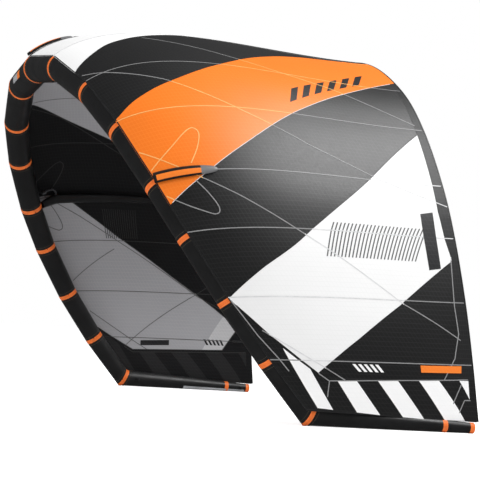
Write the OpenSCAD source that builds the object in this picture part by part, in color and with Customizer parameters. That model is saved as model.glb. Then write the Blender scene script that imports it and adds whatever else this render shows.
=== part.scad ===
// Inflatable kitesurf kite with a leading edge tube, three struts and an arched canopy.
// Frame: millimetres, +X along the span, +Y from leading edge to trailing edge, +Z up.
// Origin: middle of the footprint, level with the underside of the tip tubes.

/* [Arch] */
// Half width between the leading edge tube's centre lines
half_span = 1674; // [1650:1:1700]
// Height of the leading edge arch above its tip corners
arch_h = 1743; // [1700:1:1780]
// Extra height of the trailing edge at the centre
trailing_lift = 209; // [150:1:240]
// How much narrower the trailing edge is on each side
trailing_inset = 26; // [10:1:40]
// Roundness of the arch, where 2 is an ellipse
arch_power = 2.25; // [2.1:0.01:2.4]
// Angles of the leading edge joints round the arch, from centre to tip corner
joint_angles = [0, 14.5, 30.5, 43, 55.5, 65, 75, 83.5, 90];
// Distance that the leading edge sweeps back at the tip corner
sweep = 1070; // [1000:1:1100]
// Distance that the trailing edge sweeps back at the tip
trailing_sweep = 196; // [150:1:240]
// Rate at which the sweep grows towards the tip
sweep_power = 2.34; // [2.2:0.01:2.5]
// Chord at the centre, from tube centre line to trailing edge
centre_chord = 1773; // [1740:1:1800]

/* [Tubes] */
// Radius of the leading edge tube at the centre
tube_r_centre = 79; // [74:0.5:84]
// Radius of the leading edge tube at the tip corner
tube_r_corner = 51.5; // [48:0.5:55]
// Radius of the tip tube at its end
tube_r_end = 26; // [24:0.5:28]
// Thickness of the woven sleeve
sleeve_t = 1.2; // [1:0.1:1.5]
// Radius of a strut at its widest
strut_r_front = 31; // [28:0.5:34]
// Radius of a strut at its tail
strut_r_tail = 15; // [13:0.5:18]
// Radius of a strut's neck at the leading edge
strut_r_neck = 22; // [20:0.5:26]
// Distance of the tip tube's end behind the tip corner
tip_tube_len = 875; // [860:1:885]
// Width of a seam band
band_w = 26; // [20:1:32]
// Thickness of a seam band
band_t = 0.8; // [0.6:0.1:1]
// Place of the rear seam band along the tip tube, as a share of its length
rear_band_at = 0.815; // [0.7:0.005:0.85]

/* [Canopy] */
// Thickness of the canopy panels
canopy_t = 1.2; // [1:0.1:1.6]
// Angle on the tube where the canopy leaves it, from the chord line
canopy_from = 126; // [110:1:130]
// Front pull of the canopy's camber curve, as a share of the chord
camber_front = 0.26; // [0.2:0.01:0.4]
// Rear pull of the canopy's camber curve, as a share of the chord
camber_rear = 0.40; // [0.2:0.01:0.45]
// Angle at which the canopy comes down to the trailing edge
camber_exit = 5.5; // [3:0.5:8]
// Height of the billow between two chordwise seams
billow = 7; // [3:0.5:10]
// Width of the trailing edge hem
hem_w = 8; // [6:0.5:10]

/* [Fittings] */
// Radius of the inflation valve's bore
inflate_bore_r = 10; // [8:0.5:12]
// Radius of the dump valve's bore
dump_bore_r = 16; // [14:0.5:18]
// Radius of an air hose
hose_r = 6; // [5:0.5:7]
// Bend radius of an air hose
hose_bend = 50; // [48:1:60]
// Radius of a hinge pin
pin_r = 1.5; // [1.2:0.1:2]
// Inner radius of a line loop
loop_r = 8; // [7:0.5:10]

/* [Hidden] */
$fn = 48;

joints = len(joint_angles) - 1;     // tube lengths on each side
seam_gap = 0.2;                     // half the gap between two sewn pieces
skin_gap = 2.2;                     // gap between the canopy and what it is sewn over
big = 400;                          // side of a cutting block
round_sides = 14;                   // sides of a swept tube
black = [0.09, 0.09, 0.10];
orange = [0.98, 0.38, 0.08];
grey = [0.45, 0.45, 0.47];
white = [0.93, 0.93, 0.93];
film = [0.75, 0.78, 0.80, 0.6];

// Vector helpers
function unit(v) = v / norm(v);
function lerp(a, b, s) = a + (b - a) * s;
function square_to(v, axis) = unit(v - axis * (v * axis));
function mirrored(p) = [-p[0], p[1], p[2]];

// ---------- Centre lines ----------
depth = centre_chord + trailing_sweep + tube_r_centre + band_t + hem_w;
front_y = -depth / 2 + tube_r_centre + band_t;
base_z = tube_r_corner + band_t;

// Arch outline in the XZ plane at an angle from the top
function arch(a, w, h) = [w * pow(sin(a), 2 / arch_power), h * pow(cos(a), 2 / arch_power)];
outline = [for (a = joint_angles) arch(a, half_span, arch_h)];
function run(i) = i == 0 ? 0 : run(i - 1) + norm(outline[i] - outline[i - 1]);
function swept(i) = pow(run(i) / run(joints), sweep_power);

le_pts = [for (i = [0:joints])
    [outline[i][0], front_y + sweep * swept(i), base_z + outline[i][1]]];
te_pts = [for (i = [0:joints])
    let (p = arch(joint_angles[i], half_span - trailing_inset, arch_h + trailing_lift))
    [p[0], front_y + centre_chord + trailing_sweep * swept(i), base_z + p[1]]];
tip_end = le_pts[joints] + [6, tip_tube_len, tube_r_end - tube_r_corner];

function tube_r(i) = lerp(tube_r_centre, tube_r_corner, i / joints);

// Outward normal of the arch at each joint
normals = [for (a = joint_angles)
    let (p = arch(max(a - 0.5, 0), half_span, arch_h), q = arch(min(a + 0.5, 90), half_span, arch_h))
    unit([p[1] - q[1], 0, q[0] - p[0]])];

// Any of the lists above at a joint number that may lie between two joints
function at(list, i) =
    let (k = min(floor(i), joints - 1)) lerp(list[k], list[k + 1], i - k);

// Trailing edge at a joint number, as a smooth curve through its points
te_line = concat([mirrored(te_pts[1])], te_pts, [2 * te_pts[joints] - te_pts[joints - 1]]);
function te_at(i) =
    let (k = min(floor(i), joints - 1), t = i - k,
         a = te_line[k], b = te_line[k + 1], c = te_line[k + 2], d = te_line[k + 3])
    0.5 * (2 * b + (c - a) * t + (2 * a - 5 * b + 4 * c - d) * pow(t, 2)
           + (3 * b - a - 3 * c + d) * pow(t, 3));

// Direction of each tube length, and of the cutting plane at each joint
function tube_dir(k) = k < joints ? unit(le_pts[k + 1] - le_pts[k]) : unit(tip_end - le_pts[joints]);
function cut_dir(k) = k == 0 ? [1, 0, 0] : unit(tube_dir(k - 1) + tube_dir(k));

// ---------- Chord sections ----------
// At joint number i the section plane holds the chord c and the outward direction n
function chord_dir(i) = unit(te_at(i) - at(le_pts, i));
function out_dir(i) = square_to(at(normals, i), chord_dir(i));
function span_dir(i) = cross(out_dir(i), chord_dir(i));
function chord_len(i) = norm(te_at(i) - at(le_pts, i));
function place(i, p, side = 0) =
    at(le_pts, i) + chord_dir(i) * p[0] + out_dir(i) * p[1] + span_dir(i) * side;

// The camber fades out at the tip, where the canopy lies along the tip tube
function fade(i) = pow(i / joints, 3);
function skin_r(i) = tube_r(i) + band_t + skin_gap + canopy_t / 2;
// The section cuts the tube at a slant, so the tube looks longer along the chord there
cut_dirs = [for (k = [0:joints]) cut_dir(k)];
function stretch(i) = 1 / norm(cross(chord_dir(i), unit(at(cut_dirs, i))));
function camber_ends(i) =
    let (w = fade(i), a = lerp(canopy_from, 95, w), r = skin_r(i), wide = stretch(i), len = chord_len(i),
         start = [r * wide * cos(a), r * sin(a)], end = [len, lerp(0, tube_r_end + band_t + skin_gap, w)],
         front = lerp(camber_front, 0.3, w), rear = lerp(camber_rear, 0.2, w), out = lerp(camber_exit, 1.7, w))
    [start, start + front * len * unit([wide * sin(a), -cos(a)]),
     end - rear * len * [cos(out), -sin(out)], end];
function bezier(p, s) =
    p[0] * pow(1 - s, 3) + p[1] * 3 * pow(1 - s, 2) * s + p[2] * 3 * (1 - s) * s * s + p[3] * pow(s, 3);
function slope(p, s) = unit(bezier(p, min(s + 0.01, 1)) - bezier(p, max(s - 0.01, 0)));
// Point on the canopy's middle surface, moved off along its own normal
function camber(i, s, off = 0) =
    let (p = camber_ends(i), d = slope(p, s)) bezier(p, s) + off * [-d[1], d[0]];
function puff(i, s) = billow * sin(180 * (i - floor(i))) * sin(180 * s) * (1 - fade(i));
function skin(i, s, off) = place(i, camber(i, s, off + puff(i, s)));

// ---------- Solids from grids of points ----------
function quad(a, b, c, d) = [[a, b, c], [a, c, d]];
function flat(list) = [for (l = list) each l];

// Closed sheet between two grids with the same rows and columns
module slab(upper, lower) {
    rows = len(upper);
    cols = len(upper[0]);
    n = rows * cols;
    function id(j, k) = j * cols + k;
    skins = [for (j = [0:rows - 2], k = [0:cols - 2])
        concat(quad(id(j, k), id(j, k + 1), id(j + 1, k + 1), id(j + 1, k)),
               quad(n + id(j, k), n + id(j + 1, k), n + id(j + 1, k + 1), n + id(j, k + 1)))];
    ends = [for (k = [0:cols - 2])
        concat(quad(id(0, k), n + id(0, k), n + id(0, k + 1), id(0, k + 1)),
               quad(id(rows - 1, k + 1), n + id(rows - 1, k + 1), n + id(rows - 1, k), id(rows - 1, k)))];
    sides = [for (j = [0:rows - 2])
        concat(quad(id(j + 1, 0), n + id(j + 1, 0), n + id(j, 0), id(j, 0)),
               quad(id(j, cols - 1), n + id(j, cols - 1), n + id(j + 1, cols - 1), id(j + 1, cols - 1)))];
    polyhedron(concat(flat(upper), flat(lower)), flat(concat(skins, ends, sides)));
}

// Rings joined into a tube, with a flat cap at each end
module swept_tube(rings) {
    rows = len(rings);
    cols = len(rings[0]);
    function id(j, k) = j * cols + (k % cols);
    walls = [for (j = [0:rows - 2], k = [0:cols - 1])
        quad(id(j, k), id(j, k + 1), id(j + 1, k + 1), id(j + 1, k))];
    caps = [for (k = [1:cols - 2])
        [[id(0, 0), id(0, k + 1), id(0, k)], [id(rows - 1, 0), id(rows - 1, k), id(rows - 1, k + 1)]]];
    polyhedron(flat(rings), flat(concat(walls, caps)));
}

// Rings joined into a pipe that is open at both ends
module pipe(outer, inner) {
    rows = len(outer);
    cols = len(outer[0]);
    n = rows * cols;
    last = rows - 1;
    function id(j, k) = j * cols + (k % cols);
    walls = [for (j = [0:rows - 2], k = [0:cols - 1])
        concat(quad(id(j, k), id(j, k + 1), id(j + 1, k + 1), id(j + 1, k)),
               quad(n + id(j, k), n + id(j + 1, k), n + id(j + 1, k + 1), n + id(j, k + 1)))];
    rims = [for (k = [0:cols - 1])
        concat(quad(id(0, k + 1), id(0, k), n + id(0, k), n + id(0, k + 1)),
               quad(id(last, k), id(last, k + 1), n + id(last, k + 1), n + id(last, k)))];
    polyhedron(concat(flat(outer), flat(inner)), flat(concat(walls, rims)));
}

// Ring of points about a centre, in the plane of u and v
function ring(centre, u, v, r, sides = round_sides) =
    [for (k = [0:sides - 1]) centre + r * (u * cos(360 * k / sides) + v * sin(360 * k / sides))];

// Children moved so that +Z points along dir at a point
module aim(point, dir) {
    tilt = acos(dir[2]);
    turn = atan2(dir[1], dir[0]);
    translate(point) rotate([0, tilt, turn]) children();
}

// Children moved to a frame given by its origin and three square directions
module in_frame(o, x, y, z) {
    multmatrix([[x[0], y[0], z[0], o[0]], [x[1], y[1], z[1], o[1]], [x[2], y[2], z[2], o[2]]])
        children();
}

module mirror_if(flip) {
    mirror([flip ? 1 : 0, 0, 0]) children();
}

// ---------- Leading edge ----------
// Everything on the far side of a plane
module beyond(point, dir) {
    aim(point, dir) translate([-big / 2, -big / 2, 0]) cube(big);
}

// Tapered shell along one length of tube, cut square to the joints at both ends
module tube_shell(from, to, r_from, r_to, cut_from, cut_to, wall) {
    run_len = norm(to - from);
    dir = unit(to - from);
    over = 1.2 * r_from;
    grow = (r_to - r_from) / run_len;
    difference() {
        aim(from - dir * over, dir) difference() {
            cylinder(h = run_len + 2 * over, r1 = r_from - grow * over, r2 = r_to + grow * over);
            translate([0, 0, -1])
                cylinder(h = run_len + 2 * over + 2, r1 = r_from - grow * (over + 1) - wall,
                         r2 = r_to + grow * (over + 1) - wall);
        }
        beyond(from + dir * seam_gap, -cut_from);
        beyond(to - dir * seam_gap, cut_to);
    }
}

module le_length(k) {
    color(black) tube_shell(le_pts[k - 1], le_pts[k], tube_r(k - 1), tube_r(k),
                            cut_dir(k - 1), cut_dir(k), sleeve_t);
}

// A length with the hole that a valve's air goes through, a little wider than the valve's bore
sleeve_hole_rim = 2;
module le_length_with_hole(k) {
    color(black) difference() {
        le_length(k);
        if (k == inflate_on)
            inflate_frame() cylinder(h = 2 * tube_r_centre, r = inflate_bore_r + sleeve_hole_rim);
        if (k == dump_on)
            dump_frame() cylinder(h = 2 * tube_r_centre, r = dump_bore_r + sleeve_hole_rim);
    }
}

tip_step = 0.6;                  // how much thinner a tip tube starts, to pass under the corner band
module tip_tube(flip) {
    color(black) mirror_if(flip)
        tube_shell(le_pts[joints], tip_end, tube_r_corner - tip_step, tube_r_end, cut_dir(joints),
                   tube_dir(joints), sleeve_t);
}

// Orange cap that closes the end of a tip tube
cap_len = 24;
module tip_cap() {
    dir = tube_dir(joints);
    aim(tip_end - dir * cap_len, dir) difference() {
        cylinder(h = cap_len + sleeve_t + skin_gap, r = tube_r_end + band_t + 0.6);
        translate([0, 0, -1]) cylinder(h = cap_len + 1 + seam_gap, r = tube_r_end + 0.9);
    }
}

module tip_caps() {
    color(orange) for (flip = [false, true]) mirror_if(flip) tip_cap();
}

// Band over a joint: two slanted rings that meet on the joint's plane and follow the tubes' taper
band_slack = 0.25;
// Growth of the radius for each millimetre away from joint k, towards the centre or the tip
function taper_in(k) = (tube_r(k - 1) - tube_r(k)) / norm(le_pts[k - 1] - le_pts[k]);
function taper_out(k) = k == joints ? (tube_r_end - tube_r_corner) / tip_tube_len
    : (tube_r(k + 1) - tube_r(k)) / norm(le_pts[k + 1] - le_pts[k]);
module half_band(k, away, cut, taper) {
    half = band_w / 2;
    over = 1.2 * tube_r(k);
    module cone(extra, more) {
        translate([0, 0, -more]) cylinder(h = 2 * over + half + 2 * more,
                                          r1 = tube_r(k) + extra - taper * (over + more),
                                          r2 = tube_r(k) + extra + taper * (over + half + more));
    }
    difference() {
        aim(le_pts[k] - away * over, away) difference() {
            cone(band_t, 0);
            cone(band_slack, 1);
        }
        beyond(le_pts[k] + away * 0.01, -cut);
        beyond(le_pts[k] + away * half, cut);
    }
}
module seam_band(k) {
    half_band(k, -tube_dir(k - 1), -cut_dir(k), taper_in(k));
    half_band(k, tube_dir(k), cut_dir(k), taper_out(k));
}

module rear_band() {
    dir = tube_dir(joints);
    r_here = lerp(tube_r_corner, tube_r_end, rear_band_at);
    slack = band_w / 2 * (tube_r_corner - tube_r_end) / tip_tube_len + 0.1;
    aim(lerp(le_pts[joints], tip_end, rear_band_at) - dir * band_w / 2, dir) difference() {
        cylinder(h = band_w, r = r_here + slack + band_t);
        translate([0, 0, -1]) cylinder(h = band_w + 2, r = r_here + slack);
    }
}

module seam_bands(flip) {
    color(orange) mirror_if(flip) {
        for (k = [1:joints]) seam_band(k);
        rear_band();
    }
}

module seam_band_center() {
    color(orange) for (flip = [false, true]) mirror_if(flip)
        half_band(0, tube_dir(0), [1, 0, 0], taper_out(0));
}

// Bladder inside the leading edge and tip tubes: one hose from tip to tip, open at its valves
bladder_gap = 2.5;
film_t = 1;
film_hole_rim = 4;
function bladder_ring(k, wall) =
    let (end = k > joints,
         dir = end ? tube_dir(joints) : cut_dir(k),
         centre = end ? tip_end - dir * (4 + wall) : le_pts[k],
         r = (end ? tube_r_end : tube_r(k)) - sleeve_t - bladder_gap - wall,
         u = square_to([0, 1, 0.4], dir))
    ring(centre, u, cross(u, dir), r);
module bladder_body(wall) {
    swept_tube([for (k = [-joints - 1:joints + 1])
        k < 0 ? [for (p = bladder_ring(-k, wall)) mirrored(p)] : bladder_ring(k, wall)]);
}
module le_bladder() {
    color(film) difference() {
        bladder_body(0);
        bladder_body(film_t);
        inflate_frame() cylinder(h = tube_r_centre, r = inflate_bore_r + film_hole_rim);
        dump_frame() cylinder(h = tube_r_centre, r = dump_bore_r + film_hole_rim);
    }
}

// ---------- Canopy ----------
panel_cols = 4;
panel_rows = 16;
// Share of the curve at row j, with the rows closer together over the leading edge
function row_share(j) = pow(j / panel_rows, 1.5);
// Last joint number that the canopy reaches, so that its edge runs along the tip tube's top
function canopy_tip(s) = joints - lerp(0.1, 0.02, s);

module canopy_panel(k, flip) {
    seam = seam_gap / norm(le_pts[k] - le_pts[k - 1]);
    function last(s) = min(k - seam, canopy_tip(s));
    function grid(off) = [for (j = [0:panel_rows], s = [row_share(j)])
        [for (c = [0:panel_cols]) skin(lerp(k - 1 + seam, last(s), c / panel_cols), s, off)]];
    mirror_if(flip) slab(grid(canopy_t / 2), grid(-canopy_t / 2));
}

// Hem that holds the tightening line behind the canopy's edge
module trailing_hem(flip) {
    hem_t = 3;
    steps = 16;
    function edge(i, back, off) = let (p = camber(i, 1, off)) place(i, p + [back, 0]);
    function grid(off) = [for (j = [0:1])
        [for (c = [0:steps]) edge(lerp(seam_gap / half_span, canopy_tip(1), c / steps),
                                  j == 0 ? 0.4 : hem_w, off)]];
    color(grey) mirror_if(flip) slab(grid(hem_t / 2), grid(-hem_t / 2));
}

// Thin rods under the canopy that stiffen its trailing edge at the chordwise seams
batten_len = 120;
batten_r = 1.5;
module trailing_battens() {
    color(grey) for (flip = [false, true], k = [4:joints - 1]) mirror_if(flip) {
        back = place(k, camber(k, 0.99, -canopy_t / 2 - batten_r - 0.6));
        front = place(k, camber(k, 0.99 - batten_len / chord_len(k), -canopy_t / 2 - batten_r - 0.6));
        aim(front, unit(back - front)) cylinder(h = norm(back - front), r = batten_r);
    }
}

// ---------- Struts ----------
strut_joint = 4;                 // joint number that carries the side struts
strut_first = 5;                 // canopy row at which a strut has reached the canopy
strut_steps = panel_rows - strut_first;
strut_gap = 1.2;                 // gap between a strut and the canopy over it
// Radius of a strut at its ring j
function strut_r(j) = j == 0 ? strut_r_neck
    : lerp(strut_r_front, strut_r_tail, pow((j - 1) / (strut_steps - 1), 1.5));
// Middle of ring j in the section plane
function strut_mid(i, j) = j == 0
    ? [(tube_r(i) + band_t) * stretch(i) + 3, tube_r(i) * 0.35]
    : camber(i, row_share(strut_first + j - 1), -canopy_t / 2 - strut_gap - strut_r(j));
function strut_slope(i, j) = j == 0 ? unit([1, 0.45])
    : unit(strut_mid(i, min(j + 1, strut_steps)) - strut_mid(i, j - 1));
// Ring j, made smaller by wall, with the two end rings drawn into the strut
function strut_ring(i, j, wall, inset) =
    let (d = strut_slope(i, j), up = chord_dir(i) * -d[1] + out_dir(i) * d[0],
         along = j == 0 ? inset : j == strut_steps ? -inset : 0)
    ring(place(i, strut_mid(i, j) + d * along), up, span_dir(i), strut_r(j) - wall);
function strut_rings(i, wall, inset) = [for (j = [0:strut_steps]) strut_ring(i, j, wall, inset)];

module strut(i, flip = false) {
    color(black) mirror_if(flip) pipe(strut_rings(i, 0, 0), strut_rings(i, sleeve_t, 0));
}

// Air tubes inside the struts, each open where its hose comes in
module strut_bladder(i, flip) {
    wall = sleeve_t + 1.5;
    mirror_if(flip) difference() {
        swept_tube(strut_rings(i, wall, wall));
        swept_tube(strut_rings(i, wall + film_t, wall + film_t));
        hose_hole(i);
    }
}
module strut_bladders() {
    color(film) {
        strut_bladder(0, false);
        for (flip = [false, true]) strut_bladder(strut_joint, flip);
    }
}

// Fairing over the outside of the canopy where a strut meets the leading edge
// Length as a share of the canopy's curve, longer on the side struts
function nose_len(i) = i == 0 ? 0.185 : 0.24;
nose_w = 30;                     // half width
nose_h = 17;
nose_steps = 8;
nose_sides = 12;
function nose_shape(v) = pow(max(1 - pow(v, 3.2), 0), 0.5) * lerp(1, 0.86, v) + 0.24 * v;
module nose(i, flip = false) {
    function nose_ring(v) =
        let (s = 0.004 + nose_len(i) * v, p = camber(i, s, canopy_t / 2 + skin_gap),
             d = slope(camber_ends(i), s), up = chord_dir(i) * -d[1] + out_dir(i) * d[0],
             k = nose_shape(v))
        [for (a = [nose_sides:-1:0]) place(i, p) + up * (nose_h * k * sin(180 * a / nose_sides))
            + span_dir(i) * (nose_w * k * cos(180 * a / nose_sides))];
    color(grey) mirror_if(flip) swept_tube([for (j = [0:nose_steps]) nose_ring(j / nose_steps)]);
}

// ---------- Air hoses between the leading edge and the struts ----------
hose_ring = 1;                   // strut ring that the hose enters
// End of the hose on the strut's middle, and the straight line to it from the tube's middle
function hose_target(i) = strut_mid(i, hose_ring);
function hose_angle(i) = atan2(hose_target(i)[1], hose_target(i)[0]);
function hose_reach(i) = norm(hose_target(i));
function hose_side(i) = strut_r(hose_ring) + hose_bend + 2;
// Hole in the near wall of a strut's bladder for the hose
module hose_hole(i) {
    hose_frame(i, false) translate([hose_reach(i), hose_bend, 0]) rotate([-90, 0, 0])
        cylinder(h = strut_r(hose_ring), r = hose_r);
}
// Frame of a hose: x along the straight part, y across towards the strut, z square to both
module hose_frame(i, flip) {
    c = chord_dir(i);
    n = out_dir(i);
    b = span_dir(i);
    a = hose_angle(i);
    mirror_if(flip) in_frame(at(le_pts, i) + b * hose_side(i), c * cos(a) + n * sin(a), -b,
                             c * sin(a) - n * cos(a)) children();
}
function hose_start(i) = tube_r(i) + 1.5;
function hose_turn(i) = hose_reach(i) - hose_bend;
hose_join = 0.05;

module air_hose(i, flip) {
    hose_frame(i, flip) difference() {
        union() {
            translate([hose_start(i), 0, 0]) rotate([0, 90, 0])
                cylinder(h = hose_turn(i) - hose_start(i) + hose_join, r = hose_r);
            translate([hose_turn(i), hose_bend, 0]) rotate([0, 0, -90])
                rotate_extrude(angle = 89) translate([hose_bend, 0]) circle(r = hose_r);
        }
        translate([hose_start(i) - 1, 0, 0]) rotate([0, 90, 0])
            cylinder(h = hose_turn(i) - hose_start(i), r = hose_r - 1.5);
    }
}

module air_hoses() {
    color(film) {
        air_hose(0, false);
        for (flip = [false, true]) air_hose(strut_joint, flip);
    }
}

// ---------- Hinges ----------
// Axis along X through the origin; the base is below it and the leaf reaches along +Y
knuckle_r = 3.2;
knuckle_w = 10;
ear_w = 3;
ear_gap = 0.3;
pin_fit = 0.05;
pin_len = knuckle_w + 2 * (ear_gap + ear_w);

module hinge_ears(drop) {
    for (side = [-1, 1])
        translate([side * (knuckle_w / 2 + ear_gap + ear_w / 2), 0, 0]) rotate([0, 90, 0])
            union() {
                cylinder(h = ear_w, r = knuckle_r, center = true);
                translate([drop / 2, 0, 0]) cube([drop, 2 * knuckle_r, ear_w], center = true);
            }
    rotate([0, 90, 0]) cylinder(h = pin_len, r = pin_r, center = true);
}

module hinge_knuckle(reach, leaf_t) {
    difference() {
        union() {
            rotate([0, 90, 0]) cylinder(h = knuckle_w, r = knuckle_r, center = true);
            translate([-knuckle_w / 2, 0, knuckle_r - leaf_t]) cube([knuckle_w, reach, leaf_t]);
        }
        rotate([0, 90, 0]) cylinder(h = knuckle_w + 1, r = pin_r + pin_fit, center = true);
    }
}

// ---------- Hose clamps ----------
clamp_len = 26;
clamp_w = 20;
clamp_h = 22;
clamp_clear = 0.2;
clamp_step = 5;                  // distance from the tube to the clamp
lever_t = 2.6;
function clamp_x(i) = hose_start(i) + clamp_step;
hinge_up = clamp_h / 2 + knuckle_r + 0.4;

module clamp_body(i, flip) {
    hose_frame(i, flip) translate([clamp_x(i), 0, 0]) {
        difference() {
            translate([0, -clamp_w / 2, -clamp_h / 2]) cube([clamp_len, clamp_w, clamp_h]);
            translate([-1, 0, 0]) rotate([0, 90, 0]) cylinder(h = clamp_len + 2, r = hose_r + clamp_clear);
        }
        translate([knuckle_r, 0, hinge_up]) rotate([0, 0, -90]) hinge_ears(hinge_up - clamp_h / 2 + 0.5);
    }
}

module hose_clamps() {
    color(black) {
        clamp_body(0, false);
        for (flip = [false, true]) clamp_body(strut_joint, flip);
    }
}

module clamp_lever(i, flip = false) {
    color(orange) hose_frame(i, flip) translate([clamp_x(i) + knuckle_r, 0, hinge_up]) rotate([0, 0, -90])
        hinge_knuckle(clamp_len - knuckle_r + 4, lever_t);
}

// ---------- Valves ----------
// Frame on the leading edge: z out of the tube, x along it, at a share of length k
module valve_frame(k, share, angle, flip) {
    i = k - 1 + share;
    mid = at(le_pts, i);
    along = tube_dir(k - 1);
    c = square_to(chord_dir(i), along);
    n = cross(c, along);
    out = c * cos(angle) - n * sin(angle);
    mirror_if(flip) in_frame(mid, along, cross(out, along), out) children();
}

valve_rise = 16;
valve_wall = 3.5;
flange_w = 9;
flange_t = 2.5;
cap_t = 3;
cap_gap = 0.4;
tab_w = 8;
tab_len = 6;
tab_t = 1.6;

module valve_hinge_at(r, bore_r) {
    translate([0, bore_r + valve_wall + knuckle_r + 1.2, r + valve_rise + 1]) rotate([0, 0, 180])
        children();
}

module valve_body(r, bore_r) {
    outer = bore_r + valve_wall;
    difference() {
        union() {
            translate([0, 0, r - 8]) cylinder(h = 8 + flange_t, r = outer + flange_w);
            translate([0, 0, r]) cylinder(h = valve_rise, r = outer);
            valve_hinge_at(r, bore_r) hinge_ears(valve_rise);
        }
        translate([0, 0, r - 10]) cylinder(h = valve_rise + 12, r = bore_r);
        rotate([0, 90, 0]) cylinder(h = 3 * outer + 60, r = r + 0.8, center = true);
    }
}

module valve_cap(r, bore_r) {
    outer = bore_r + valve_wall;
    translate([0, 0, r + valve_rise + cap_gap]) union() {
        cylinder(h = cap_t, r = outer);
        translate([-tab_w / 2, -outer - tab_len, 0]) cube([tab_w, outer + tab_len, tab_t]);
    }
    valve_hinge_at(r, bore_r) hinge_knuckle(outer, 2);
}

inflate_on = 1;
inflate_share = 0.45;
inflate_angle = 20;
dump_on = 6;
dump_share = 0.5;
dump_angle = 10;

module inflate_frame() {
    valve_frame(inflate_on, inflate_share, inflate_angle, false) children();
}
module dump_frame() {
    valve_frame(dump_on, dump_share, dump_angle, false) children();
}
inflate_tube_r = tube_r(inflate_on - 1 + inflate_share);
dump_tube_r = tube_r(dump_on - 1 + dump_share);

module inflate_valve() {
    color(grey) inflate_frame() valve_body(inflate_tube_r, inflate_bore_r);
}
module inflate_cap() {
    color(grey) inflate_frame() valve_cap(inflate_tube_r, inflate_bore_r);
}
module dump_valve() {
    color(grey) dump_frame() valve_body(dump_tube_r, dump_bore_r);
}
module dump_cap() {
    color(grey) dump_frame() valve_cap(dump_tube_r, dump_bore_r);
}

// ---------- Line loops ----------
loop_wall = 3;
loop_w = 12;
loop_foot = 4;
// Ring that stands on the inner side of a tip tube, with its hole upright
module line_loop(point, r) {
    rise = r + loop_r + loop_wall + loop_foot;
    translate(point) rotate([0, -90, 0]) difference() {
        union() {
            translate([0, 0, rise]) rotate([0, 90, 0])
                cylinder(h = loop_w, r = loop_r + loop_wall, center = true);
            translate([-loop_w / 2, -8, r - 3]) cube([loop_w, 16, loop_foot + 5]);
        }
        translate([0, 0, rise]) rotate([0, 90, 0]) cylinder(h = loop_w + 2, r = loop_r, center = true);
        rotate([90, 0, 0]) cylinder(h = 60, r = r + 1.2, center = true);
    }
}

front_loop_at = 0.10;
rear_loop_at = 0.93;
function tip_point(share) = lerp(le_pts[joints], tip_end, share);
function tip_r(share) = lerp(tube_r_corner, tube_r_end, share);
module line_loops() {
    color(black) for (flip = [false, true], share = [front_loop_at, rear_loop_at]) mirror_if(flip)
        line_loop(tip_point(share), tip_r(share));
}

mirror([1, 0, 0]) le_length(1);  // le_left_1
mirror([1, 0, 0]) le_length(2);  // le_left_2
mirror([1, 0, 0]) le_length(3);  // le_left_3
mirror([1, 0, 0]) le_length(4);  // le_left_4
mirror([1, 0, 0]) le_length(5);  // le_left_5
mirror([1, 0, 0]) le_length(6);  // le_left_6
mirror([1, 0, 0]) le_length(7);  // le_left_7
mirror([1, 0, 0]) le_length(8);  // le_left_8
le_length_with_hole(1);  // le_right_1
le_length(2);  // le_right_2
le_length(3);  // le_right_3
le_length(4);  // le_right_4
le_length(5);  // le_right_5
le_length_with_hole(6);  // le_right_6
le_length(7);  // le_right_7
le_length(8);  // le_right_8
tip_tube(true);  // tip_tube_left
tip_tube(false);  // tip_tube_right
tip_caps();
seam_bands(true);  // seam_bands_left
seam_bands(false);  // seam_bands_right
seam_band_center();
le_bladder();
color(white) canopy_panel(1, true);  // canopy_left_1
color(grey) canopy_panel(2, true);  // canopy_left_2
color(black) canopy_panel(3, true);  // canopy_left_3
color(black) canopy_panel(4, true);  // canopy_left_4
color(grey) canopy_panel(5, true);  // canopy_left_5
color(white) canopy_panel(6, true);  // canopy_left_6
color(white) canopy_panel(7, true);  // canopy_left_7
color(black) canopy_panel(8, true);  // canopy_left_8
color(white) canopy_panel(1, false);  // canopy_right_1
color(black) canopy_panel(2, false);  // canopy_right_2
color(orange) canopy_panel(3, false);  // canopy_right_3
color(orange) canopy_panel(4, false);  // canopy_right_4
color(black) canopy_panel(5, false);  // canopy_right_5
color(white) canopy_panel(6, false);  // canopy_right_6
color(white) canopy_panel(7, false);  // canopy_right_7
color(black) canopy_panel(8, false);  // canopy_right_8
trailing_hem(true);  // trailing_hem_left
trailing_hem(false);  // trailing_hem_right
strut(0);  // strut_center
strut(strut_joint, true);  // strut_left
strut(strut_joint);  // strut_right
strut_bladders();
nose(0);  // nose_center
nose(strut_joint, true);  // nose_left
nose(strut_joint);  // nose_right
air_hoses();
hose_clamps();
clamp_lever(0);  // clamp_lever_center
clamp_lever(strut_joint, true);  // clamp_lever_left
clamp_lever(strut_joint);  // clamp_lever_right
inflate_valve();
inflate_cap();
dump_valve();
dump_cap();
line_loops();
trailing_battens();
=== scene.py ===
"""Looks of an inflatable kitesurf kite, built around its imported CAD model.

Metres, with +X along the span, +Y along the chord and +Z up.
"""

import bmesh
import bpy
import numpy as np
from mathutils import Matrix, Vector


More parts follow.
